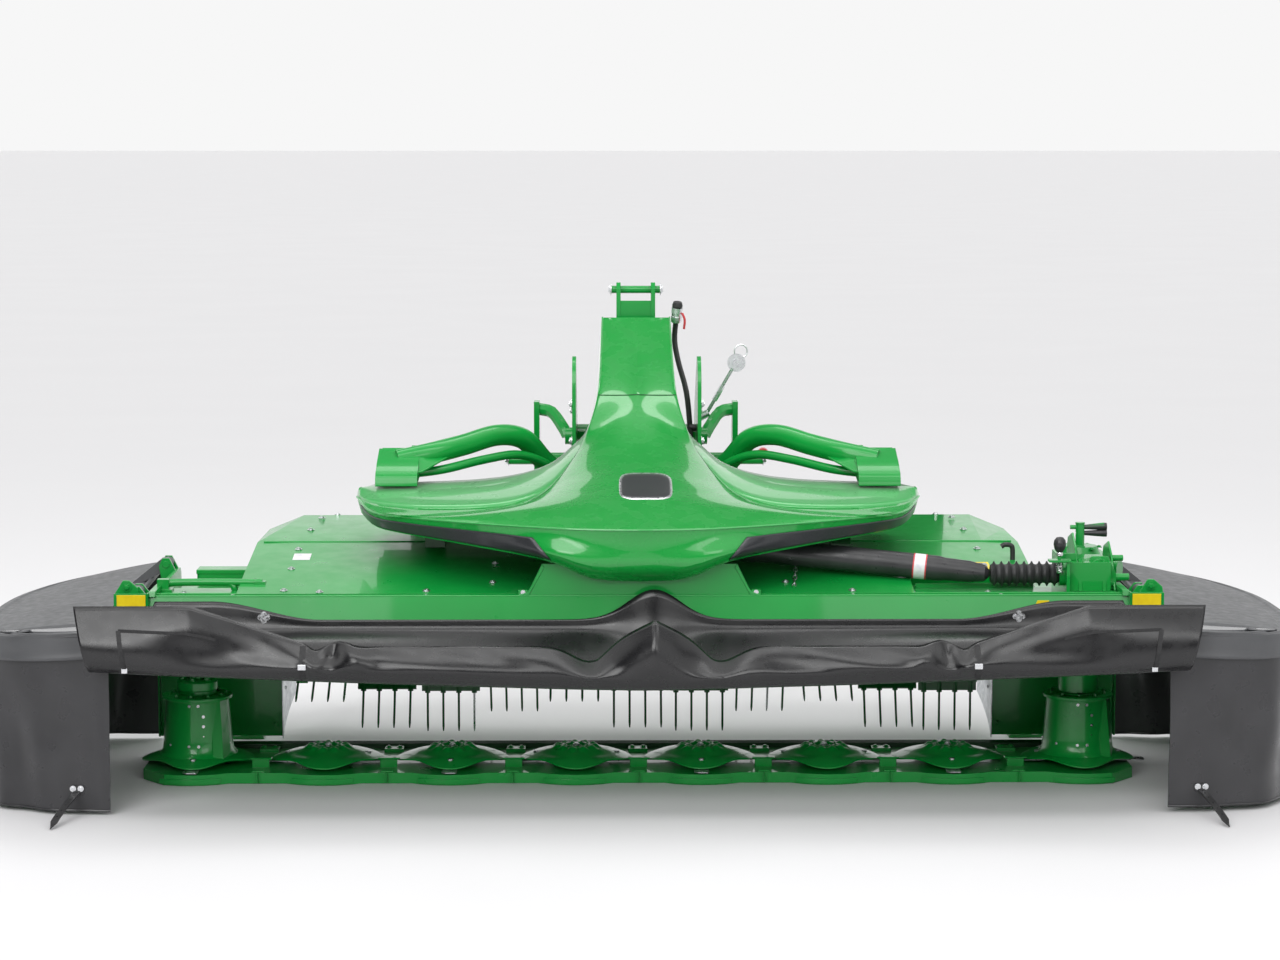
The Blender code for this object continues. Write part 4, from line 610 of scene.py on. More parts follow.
# ---- End drums ------------------------------------------------------------------------------------
# Rolled sheet drums welded on the two end discs: they carry the cut crop inwards. A bolted flange
# and collar join each to its drive shaft, and a wedge-shaped rib is welded up the front.
for tag, side in (("left", -1), ("right", 1)):
    body = body_under[f"drum_{tag}"]
    x = side * 1.341
    form = bmesh.new()
    add_turned(form, [(0.0, 0.245), (0.100, 0.245), (0.1055, 0.2435), (0.1065, 0.239), (0.1055, 0.2345),
                      (0.0965, 0.233), (0.0955, 0.226), (0.1040, 0.110), (0.1075, 0.080),
                      (0.1150, 0.068), (0.1240, 0.060), (0.1240, 0.0560), (0.0, 0.0560)], (x, 0, 0), steps=72)
    outline = [(0.058, -0.100), (0.088, -0.098), (0.104, -0.040), (0.060, -0.040)]
    near = [form.verts.new((x + a, b, 0.0600)) for a, b in outline]
    far = [form.verts.new((x + a - 0.012, b + (0.030 if b < -0.09 else 0.0), 0.2345)) for a, b in outline]
    for i in range(4):
        form.faces.new((near[i], near[(i + 1) % 4], far[(i + 1) % 4], far[i]))
    form.faces.new(near)
    form.faces.new(far)
    make(form, f"drum_{tag}_shell", body, green_paint, 30.0,
         stands_for=(f"drum_{tag}",))
    form = bmesh.new()
    if side < 0:
        add_turned(form, [(0.0, 0.291), (0.050, 0.291), (0.056, 0.289), (0.062, 0.284), (0.062, 0.262),
                          (0.058, 0.258), (0.058, 0.246), (0.0, 0.246)], (x, 0, 0), steps=60)
        bolts("drum_left_collar_bolts",
              circle_places(x, 0.0, 0.2905, 0.044, [math.tau * k / 6 + 0.3 for k in range(6)],
                            (0, 0, 1)), body, 0.0075, 0.007, green_paint)
    else:
        add_turned(form, [(0.0, 0.2505), (0.070, 0.2505), (0.072, 0.2485), (0.072, 0.2455),
                          (0.0, 0.2455)], (x, 0, 0), steps=60)
    make(form, f"drum_{tag}_collar", body, green_paint, 30.0)
    form = bmesh.new()
    add_rod(form, (x, 0, 0.244), (x, 0, 0.500), 0.0228, sides=32)
    if side < 0:
        add_rod(form, (x, 0, 0.330), (x, 0, 0.392), 0.034, sides=32)
        add_rod(form, (x, 0, 0.300), (x, 0, 0.330), 0.028, 0.034, sides=32)
    make(form, f"drum_{tag}_shaft", body, green_paint if side < 0 else bare_steel, 30.0,
         bevel=0.002)
    bolts(f"drum_{tag}_flange_bolts",
          circle_places(x, 0.0, 0.2448, 0.083, [math.tau * k / 10 + 0.2 for k in range(10)], (0, 0, 1)),
          body, 0.0062, 0.006, green_paint)
    bolts(f"drum_{tag}_shell_screws",
          circle_places(x, 0.0, 0.222, 0.0958, [math.radians(d) for d in (-98, -82, 22, 142)])
          + circle_places(x, 0.0, 0.100, 0.1052,
                          [math.radians(d) for d in (-98, -82, -20, 45, 105, 165, 225)])
          + [place for z in (0.130, 0.160, 0.190)
             for place in circle_places(x, 0.0, z, 0.1000, [-1.28])],
          body, 0.0030, 0.002)


# ---- Frame sheets ---------------------------------------------------------------------------------
# End plates, drum covers, baffles and the crop guides: folded and laser-cut steel. The crop guides
# are galvanised and left bare, because the crop polishes them.
galvanised, nodes, links, shader = new_material("galvanised_sheet", (0.66, 0.68, 0.70), 0.38, 0.85)
spot = nodes.new("ShaderNodeTexCoord").outputs["Object"]
spangle = nodes.new("ShaderNodeTexVoronoi")
spangle.inputs["Scale"].default_value = 90.0
links.new(spot, spangle.inputs["Vector"])
tinted(nodes, links, shader, spangle.outputs["Color"], (0.56, 0.58, 0.60), (0.76, 0.78, 0.80))
links.new(ranged(nodes, links, add_noise(nodes, links, spot, 30.0), 0.28, 0.50),
          shader.inputs["Roughness"])

for tag, side in (("left", -1), ("right", 1)):
    for node in ("end_plate", "end_cover", "baffle", "side_wall"):
        carry(f"{node}_{tag}", green_paint)
    carry(f"crop_guide_{tag}", galvanised)
    bolts(f"baffle_bolts_{tag}",
          [((side * x, 0.2960, z), (0, -1, 0)) for x in (1.135, 1.475) for z in (0.095, 0.255, 0.420)],
          radius=0.007, finish=green_paint)
    bolts(f"guide_rivets_{tag}", [((side * 1.1112, 0.35, z), (-side, 0, 0)) for z in (0.20, 0.245)],
          radius=0.0055, height=0.004)
    bolts(f"end_boss_nut_{tag}", [((side * 1.4660, 0.238, 0.105), (side, 0, 0))], radius=0.016,
          height=0.012, finish=green_paint)
    bolts(f"side_wall_bolts_{tag}",
          [((side * 1.1650, y, z), (side, 0, 0)) for y, z in
           ((0.36, 0.30), (0.36, 0.46), (0.50, 0.22), (0.80, 0.22), (0.80, 0.44), (0.52, 0.50))],
          radius=0.009, height=0.007)
    # Folded stiffening flange along the baffle's outer upright edge, and the drum's end bracket.
    form = bmesh.new()
    a, b = sorted((side * 1.494, side * 1.500))
    add_box(form, (a, 0.262, 0.060), (b, 0.2962, 0.496))
    a, b = sorted((side * 1.4372, side * 1.4600))
    add_slab(form, [(0.190, 0.036), (0.252, 0.036), (0.252, 0.150), (0.225, 0.170), (0.200, 0.140)],
             "X", a, b)
    make(form, f"baffle_flange_{tag}", "frame", green_paint, bevel=0.0015)


# ---- Front beam -----------------------------------------------------------------------------------
# The folded front beam that the guards hinge on, with a thin roll along its front edge, a hand rail
# on the left, lifting ears and blank decal plates at both ends.
BEAM_FRONT, BEAM_LEAN, DECK_TOP, DECK_LOW = -0.430, 0.028, 0.605, 0.490


def beam_face(z):
    """Where the front beam's leaning face lies at a height."""
    return BEAM_FRONT - BEAM_LEAN * (DECK_TOP - z) / (DECK_TOP - DECK_LOW)


def decal(name, colour, other, scale=60.0):
    """A printed film with nothing written on it: even colour, faint mottling, satin."""
    made, nodes, links, shader = new_material(name, colour, 0.35)
    spot = nodes.new("ShaderNodeTexCoord").outputs["Object"]
    tinted(nodes, links, shader,
           ranged(nodes, links, add_noise(nodes, links, spot, scale), 0.0, 1.0), colour, other)
    bumped(nodes, links, shader, add_noise(nodes, links, spot, 900.0), 0.05, 0.0002)
    return made


carry("deck_beam", green_paint)
yellow_film = decal("yellow_film", (0.80, 0.62, 0.01), (0.74, 0.55, 0.01))
white_film = decal("white_film", (0.78, 0.78, 0.77), (0.60, 0.58, 0.64))
red_film = decal("red_film", (0.60, 0.05, 0.06), (0.50, 0.04, 0.05))
dark_film = decal("dark_film", (0.035, 0.035, 0.036), (0.05, 0.05, 0.05))

form = bmesh.new()
add_tube(form, [(x, BEAM_FRONT + 0.004, DECK_TOP + 0.0008) for x in (-1.418, -0.7, 0.0, 0.7, 1.418)],
         0.0045, 12)
for a, b in ((-1.418, -0.300), (0.300, 1.418)):
    add_tube(form, [(a, -0.3990, DECK_TOP + 0.0035), (b, -0.3990, DECK_TOP + 0.0035)], 0.0038, 10)
for side in (-1, 1):
    a, b = sorted((side * 1.400, side * 1.4195))
    add_slab(form, [(-0.440, 0.606), (-0.260, 0.606), (-0.264, 0.622), (-0.436, 0.622)], "X", a, b)
make(form, "beam_edge_rolls", "frame", green_paint, 40.0, bevel=0.0015)

form = bmesh.new()
for side in (-1, 1):
    near = side * 1.486
    add_slab(form, [(near - 0.036, 0.6110), (near + 0.036, 0.6110), (near + 0.033, 0.630),
                    (near + 0.008, 0.652), (near - 0.010, 0.652)], "Y", -0.4190, -0.4120)
make(form, "lifting_ears", "frame", green_paint, bevel=0.002)
bolts("lifting_ear_bolts", [((side * 1.485, -0.4195, 0.632), (0, -1, 0)) for side in (-1, 1)],
      radius=0.009, finish=green_paint)
form = bmesh.new()
for side in (-1, 1):
    a, b = sorted((side * 1.4250, side * 1.5080))
    add_box(form, (a, -0.4630, 0.570), (b, -0.4606, 0.6155))
make(form, "end_decal_plates", "frame", yellow_film, bevel=0.001)
form = bmesh.new()
for side in (-1, 1):
    add_slab(form, [(side * 1.4190, -0.4300), (side * 1.4190, -0.4585), (side * 1.5170, -0.4602),
                    (side * 1.5170, -0.4562), (side * 1.4230, -0.4545), (side * 1.4230, -0.4300)],
             "Z", 0.560, 0.6190)
make(form, "end_decal_backs", "frame", green_paint, bevel=0.001)
form = bmesh.new()
for x in (1.168, 1.243, 1.318, 1.372):
    add_slab(form, [(x - 0.020, 0.5805), (x + 0.014, 0.5805), (x + 0.020, 0.5925), (x - 0.014, 0.5925)],
             "Y", beam_face(0.586) - 0.0022, beam_face(0.586) + 0.002)
make(form, "beam_decal_marks", "frame", yellow_film, bevel=0.0004)

form = bmesh.new()
add_tube(form, smooth([(-1.400, -0.300, 0.600), (-1.394, -0.300, 0.620), (-1.370, -0.300, 0.6285),
                       (-1.250, -0.300, 0.630), (-1.130, -0.300, 0.6285), (-1.106, -0.300, 0.6285)], 8),
         0.0108, 16)
add_box(form, (-1.420, -0.325, 0.6052), (-1.368, -0.275, 0.6110))
add_box(form, (-1.412, -0.318, 0.6100), (-1.378, -0.288, 0.6400))
add_box(form, (-1.128, -0.318, 0.6060), (-1.096, -0.288, 0.6330))
make(form, "hand_rail_sleeve", "frame", green_paint, 40.0, bevel=0.001)
# The deck sheet under the drive, in front of the cut-away corner of the hood.
form = bmesh.new()
add_box(form, (0.792, -0.262, 0.5960), (1.176, -0.186, 0.6010))
add_box(form, (1.172, -0.262, 0.5960), (1.262, -0.060, 0.6010))
add_box(form, (0.797, -0.192, 0.5980), (1.172, -0.187, 0.6440))
add_slab(form, [(-0.262, 0.6000), (-0.258, 0.6000), (-0.258, 0.6180), (-0.262, 0.6180)], "X", 0.815, 1.165)
make(form, "drive_deck", "frame", green_paint, bevel=0.001)

bolts("beam_top_bolts",
      [((x, -0.345, 0.6052), (0, 0, 1)) for x in (-1.33, -0.92, -0.52, 0.52, 0.80, 1.02)]
      + [((x, -0.4150, 0.6052), (0, 0, 1)) for x in (-1.18, -0.62, 0.62, 1.05)], radius=0.0060,
      height=0.004)


# ---- Conditioner hood -----------------------------------------------------------------------------
# A folded sheet hood over the tine rotor, bolted along its edges. It carries blank warning plates
# and, at the right, a bent hook for the drive shaft.
HOOD_LINE = ((-0.410, 0.6110), (-0.240, 0.6370), (-0.205, 0.6425), (0.150, 0.6900), (0.500, 0.730),
             (0.680, 0.700), (0.800, 0.620), (0.860, 0.480))


def hood_top(y):
    """Height of the hood's sloping top along its middle part."""
    for (a, za), (b, zb) in zip(HOOD_LINE, HOOD_LINE[1:]):
        if a <= y <= b:
            return za + (zb - za) * (y - a) / (b - a)
    return HOOD_LINE[-1][1]


def on_hood(x, y, lift=0.0006):
    """A place on the hood's top with the way it faces."""
    slope = (hood_top(y + 0.01) - hood_top(y - 0.01)) / 0.02
    return ((x, y, hood_top(y) + lift), (0, -slope, 1))


carry("conditioner_hood", green_paint, 20.0)
bolts("hood_bolts",
      [on_hood(x, y) for x, y in ((-1.035, -0.380), (-0.93, -0.395), (-0.62, -0.385), (-0.43, -0.300),
                                  (-0.43, -0.100), (-1.035, -0.160), (-1.035, 0.060), (-1.020, 0.300),
                                  (-1.000, 0.460), (0.62, -0.385), (0.43, -0.300), (0.43, -0.100),
                                  (1.035, -0.130), (1.035, 0.060), (1.020, 0.300), (1.000, 0.460),
                                  (0.955, 0.520), (-0.955, 0.520), (0.50, 0.560), (-0.50, 0.560),
                                  (0.0, 0.560), (-0.80, 0.660), (0.80, 0.660), (0.0, 0.660))],
      radius=0.0072, height=0.005)
form = bmesh.new()
add_tube(form, [(x, 0.150, 0.6898) for x in (-1.150, -0.5, 0.0, 0.5, 1.150)], 0.0030, 10)
make(form, "hood_fold_bead", "frame", green_paint, 40.0)
form = bmesh.new()
for lift, x0, x1, y0, y1 in ((0.0011, -1.042, -0.990, -0.060, 0.010),):
    slope = (hood_top(0.0) - hood_top(-0.05)) / 0.05
    corners = [(x0, y0), (x1, y0), (x1, y1), (x0, y1)]
    low = [form.verts.new((x, y, hood_top(y) + 0.0002)) for x, y in corners]
    high = [form.verts.new((x, y, hood_top(y) + lift)) for x, y in corners]
    form.faces.new(low)
    form.faces.new(high)
    for i in range(4):
        form.faces.new((low[i], low[(i + 1) % 4], high[(i + 1) % 4], high[i]))
make(form, "hood_plate_left", "frame", white_film, bevel=0.0)


def hood_plates(name, finish, plates, lift):
    """Thin blank plates on the hood's slope, each between two corners."""
    form = bmesh.new()
    for x0, x1, y0, y1 in plates:
        corners = [(x0, y0), (x1, y0), (x1, y1), (x0, y1)]
        low = [form.verts.new((x, y, hood_top(y) + 0.0002)) for x, y in corners]
        high = [form.verts.new((x, y, hood_top(y) + lift)) for x, y in corners]
        form.faces.new(low)
        form.faces.new(high)
        for i in range(4):
            form.faces.new((low[i], low[(i + 1) % 4], high[(i + 1) % 4], high[i]))
    make(form, name, "frame", finish)


hood_plates("hood_plates_yellow", yellow_film,
            ((0.890, 0.930, -0.165, -0.110), (0.952, 1.050, -0.170, -0.095)), 0.0011)
hood_plates("hood_plates_dark", dark_film, ((0.960, 1.042, -0.160, -0.105),), 0.0015)
hood_plates("hood_plate_white", white_film, ((0.934, 0.950, -0.165, -0.110),), 0.0011)

form = bmesh.new()
add_tube(form, smooth([(1.128, -0.060, 0.628), (1.128, -0.060, 0.690), (1.122, -0.060, 0.704),
                       (1.104, -0.060, 0.706), (1.094, -0.060, 0.700)], 6), 0.0075, 14)
black_rubber, nodes, links, shader = new_material("black_rubber", (0.018, 0.018, 0.019), 0.55)
spot = nodes.new("ShaderNodeTexCoord").outputs["Object"]
tinted(nodes, links, shader, ranged(nodes, links, add_noise(nodes, links, spot, 25.0), 0.0, 1.0),
       (0.014, 0.014, 0.015), (0.030, 0.030, 0.031))
links.new(ranged(nodes, links, add_noise(nodes, links, spot, 60.0), 0.42, 0.62),
          shader.inputs["Roughness"])
bumped(nodes, links, shader, add_noise(nodes, links, spot, 650.0, 4.0), 0.25, 0.0005)
make(form, "shaft_hook", "frame", black_rubber)


# ---- Tine rotor -----------------------------------------------------------------------------------
# A steel drum with eleven stations of tine bars, three bars a station, each station turned 30
# degrees on from the last. The tines are round spring-steel rods, dipped in dark green.
ROTOR = Vector((0.0, 0.400, 0.330))
dark_green_paint = painted("dark_green_enamel", (0.006, 0.135, 0.026), (0.006, 0.100, 0.020), 0.34, 0.35)


def tine_tree():
    """A round rod with a blunt tip at each point, along the point's facing."""
    tree = bpy.data.node_groups.new("tine_rods", "GeometryNodeTree")
    face = tree.interface
    face.new_socket("Places", in_out="INPUT", socket_type="NodeSocketGeometry")
    face.new_socket("Rod radius", in_out="INPUT", socket_type="NodeSocketFloat").default_value = 0.004
    face.new_socket("Rod length", in_out="INPUT", socket_type="NodeSocketFloat").default_value = 0.13
    face.new_socket("Finish", in_out="INPUT", socket_type="NodeSocketMaterial")
    face.new_socket("Tines", in_out="OUTPUT", socket_type="NodeSocketGeometry")
    nodes, links = tree.nodes, tree.links
    given, result = nodes.new("NodeGroupInput"), nodes.new("NodeGroupOutput")
    line = nodes.new("GeometryNodeCurvePrimitiveLine")
    line.mode = "DIRECTION"
    line.inputs["Direction"].default_value = (0, 0, 1)
    links.new(given.outputs["Rod length"], line.inputs["Length"])
    points = nodes.new("GeometryNodeResampleCurve")
    points.inputs["Count"].default_value = 9
    links.new(line.outputs["Curve"], points.inputs["Curve"])
    along = nodes.new("GeometryNodeSplineParameter")
    taper = nodes.new("ShaderNodeMapRange")
    for name, value in (("From Min", 0.93), ("From Max", 1.0), ("To Min", 1.0), ("To Max", 0.55)):
        taper.inputs[name].default_value = value
    links.new(along.outputs["Factor"], taper.inputs["Value"])
    ring = nodes.new("GeometryNodeCurvePrimitiveCircle")
    ring.inputs["Resolution"].default_value = 8
    links.new(given.outputs["Rod radius"], ring.inputs["Radius"])
    rod = nodes.new("GeometryNodeCurveToMesh")
    rod.inputs["Fill Caps"].default_value = True
    links.new(points.outputs["Curve"], rod.inputs["Curve"])
    links.new(ring.outputs["Curve"], rod.inputs["Profile Curve"])
    if "Scale" in rod.inputs:
        links.new(taper.outputs["Result"], rod.inputs["Scale"])
    facing = nodes.new("GeometryNodeInputNamedAttribute")
    facing.data_type = "FLOAT_VECTOR"
    facing.inputs["Name"].default_value = "facing"
    aim = nodes.new("FunctionNodeAlignRotationToVector")
    aim.axis = "Z"
    links.new(facing.outputs["Attribute"], aim.inputs["Vector"])
    setting = nodes.new("GeometryNodeInstanceOnPoints")
    links.new(given.outputs["Places"], setting.inputs["Points"])
    links.new(rod.outputs["Mesh"], setting.inputs["Instance"])
    links.new(aim.outputs["Rotation"], setting.inputs["Rotation"])
    whole = nodes.new("GeometryNodeRealizeInstances")
    links.new(setting.outputs["Instances"], whole.inputs["Geometry"])
    finish = nodes.new("GeometryNodeSetMaterial")
    links.new(whole.outputs["Geometry"], finish.inputs["Geometry"])
    links.new(given.outputs["Finish"], finish.inputs["Material"])
    links.new(finish.outputs["Geometry"], result.inputs["Tines"])
    return tree


def around_rotor(x, radius, turn, across=0.0):
    """A place at a radius from the rotor's axis, and the way out from it."""
    out = Vector((0, math.sin(turn), -math.cos(turn)))
    side = Vector((0, math.cos(turn), math.sin(turn)))
    return ROTOR + Vector((x, 0, 0)) + out * radius + side * across, out


form = bmesh.new()
add_turned(form, [(0.012, 1.1533), (0.030, 1.1533), (0.030, 1.079), (0.094, 1.079), (0.1002, 1.073),
                  (0.1002, -1.073), (0.094, -1.079), (0.030, -1.079), (0.030, -1.1533),
                  (0.012, -1.1533), (0.012, -1.069), (0.094, -1.069), (0.094, 1.069), (0.012, 1.069),
                  (0.012, 1.1533)], ROTOR, (1, 0, 0), 48)
make(form, "rotor_drum", "tine_rotor", dark_green_paint, 30.0,
     stands_for=("tine_rotor",))
form = bmesh.new()
tines, bar_bolts = [], []
for group in range(11):
    x = (group - 5) * 0.197
    for cluster in range(3):
        turn = (group - 6) * math.pi / 6 + cluster * math.tau / 3
        before = set(form.verts)
        add_box(form, (x - 0.092, -0.017, -0.108), (x + 0.092, 0.017, -0.0975))
        add_box(form, (x - 0.092, -0.006, -0.150), (x + 0.092, 0.006, -0.104))
        for k in range(4):
            tx = x + (k - 1.5) * 0.0493
            add_rod(form, (tx, 0, -0.156), (tx, 0, -0.118), 0.0088, sides=10)
            tines.append(around_rotor(tx, 0.150, turn))
        for tx in (x - 0.078, x + 0.078):
            bar_bolts.append(around_rotor(tx, 0.1085, turn, 0.0115))
        fresh = [vert for vert in form.verts if vert not in before]
        bmesh.ops.rotate(form, verts=fresh, cent=(0, 0, 0), matrix=Matrix.Rotation(turn, 3, "X"))
        bmesh.ops.translate(form, verts=fresh, vec=ROTOR)
make(form, "rotor_tine_bars", "tine_rotor", dark_green_paint, 30.0)
tine_rods = tine_tree()
worn = {7, 31, 58, 86, 104, 121, 122}
for name, finish, some in (
    ("rotor_tines", dark_green_paint, [t for i, t in enumerate(tines) if i not in worn]),
    ("rotor_tines_polished", bare_steel, [t for i, t in enumerate(tines) if i in worn]),
):
    set_out(name, tine_rods, some, "tine_rotor", "dark_green_paint",
            **{"Rod radius": 0.0037, "Rod length": 0.1295, "Finish": finish})
bolts("rotor_bar_bolts", bar_bolts, "tine_rotor", 0.006, 0.005, dark_green_paint)


# ---- Swath plates and parking stands --------------------------------------------------------------
# Galvanised plates on upright knuckles steer the swath behind the rotor. The square parking legs
# beside them swing up on a cross pin.
for tag, side in (("left", -1), ("right", 1)):
    carry(f"swath_plate_{tag}", galvanised)
    carry(f"parking_stand_{tag}", green_paint)
    knee = Vector((side * 1.262, 0.620, 0.420))
    bolts(f"stand_bolts_{tag}",
          [(knee + Vector((dx, dy, -0.409)), (0, 0, 1)) for dx in (-0.045, 0.045) for dy in (-0.075, 0.015)],
          f"stand_{tag}", 0.007, 0.005)
    bolts(f"stand_pin_head_{tag}", [(knee + Vector((side * 0.0440, 0, 0)), (side, 0, 0))],
          f"stand_{tag}", 0.013, 0.008)


# ---- Side guards ----------------------------------------------------------------------------------
# D-shaped covers moulded in grained grey plastic, hinged on the beam ends. A stepped rim runs round
# the outside, a shallow recess lies at the front and a thick lip stands along the inner edge.
HINGE_X, HINGE_Z = 1.460, 0.612
GUARD_IN, GUARD_OUT, GUARD_FRONT, GUARD_REAR = 0.045, 0.495, -0.600, 0.560
grey_plastic, nodes, links, shader = new_material("grained_grey_plastic", (0.075, 0.077, 0.081), 0.46)
spot = nodes.new("ShaderNodeTexCoord").outputs["Object"]
tinted(nodes, links, shader, ranged(nodes, links, add_noise(nodes, links, spot, 6.0), 0.0, 1.0),
       (0.068, 0.070, 0.074), (0.088, 0.090, 0.095))
links.new(ranged(nodes, links, add_noise(nodes, links, spot, 40.0), 0.40, 0.54),
          shader.inputs["Roughness"])
bumped(nodes, links, shader, add_noise(nodes, links, spot, 800.0, 4.0, 0.7), 0.30, 0.0006)


smooth_grey, nodes, links, shader = new_material("smooth_grey_plastic", (0.105, 0.107, 0.112), 0.16)
spot = nodes.new("ShaderNodeTexCoord").outputs["Object"]
tinted(nodes, links, shader, ranged(nodes, links, add_noise(nodes, links, spot, 9.0), 0.0, 1.0),
       (0.095, 0.097, 0.102), (0.120, 0.122, 0.128))
bumped(nodes, links, shader, add_noise(nodes, links, spot, 300.0), 0.05, 0.0003)


def guard_edge(count, inset=0.0):
    """The guard's D shape from above, as (distance out from the hinge line, y)."""
    middle, half = (GUARD_FRONT + GUARD_REAR) / 2, (GUARD_REAR - GUARD_FRONT) / 2 - inset
    reach = GUARD_OUT - GUARD_IN - inset
    curve = []
    for i in range(count + 1):
        # Even steps round a superellipse bunch up at its corners; this angle law spreads them out.
        angle = -math.pi / 2 + math.pi * i / count
        c, s = abs(math.cos(angle)), math.sin(angle)
        c = 0.0 if i in (0, count) else c
        curve.append((GUARD_IN + reach * c**0.625,
                      middle + half * math.copysign(abs(s) ** 0.625, s)))
    return curve


def even_edge(count, inset=0.0):
    """The same edge with its points evenly apart."""
    curve = [Vector(p) for p in guard_edge(400, inset)]
    lengths = [0.0]
    for a, b in zip(curve, curve[1:]):
        lengths.append(lengths[-1] + (b - a).length)
    found, k = [], 0
    for i in range(count + 1):
        goal = lengths[-1] * i / count
        while k < len(curve) - 2 and lengths[k + 1] < goal:
            k += 1
        t = (goal - lengths[k]) / (lengths[k + 1] - lengths[k])
        found.append(curve[k].lerp(curve[k + 1], min(1.0, t)))
    return found


def guard_height(out, y):
    """Height of the guard's top skin: high at the hinge side, falling to the rim."""
    t = (out - GUARD_IN) / (GUARD_OUT - GUARD_IN)
    rear = (y - GUARD_FRONT) / (GUARD_REAR - GUARD_FRONT)
    return 0.505 + 0.025 * (1 - t) + 0.040 * (1 - t) * rear


def step(value, low, high):
    """Zero below low, one above high, smooth between."""
    t = min(1.0, max(0.0, (value - low) / (high - low)))
    return t * t * (3 - 2 * t)


def guard_relief(t, out, y):
    """Moulded relief on the top: crowned middle, a step round the rim, the recess in front."""
    crown = 0.006 * math.sin(math.pi * min(1.0, t / 0.86))
    rim_step = -0.005 * step(t, 0.845, 0.865) + 0.0035 * (step(t, 0.925, 0.935) - step(t, 0.955, 0.965))
    recess = -0.0045 * step(-y, 0.470, 0.476) * (1 - step(t, 0.80, 0.815)) * step(out, 0.10, 0.112)
    return crown * (1 - step(t, 0.8, 0.9)) + rim_step + recess


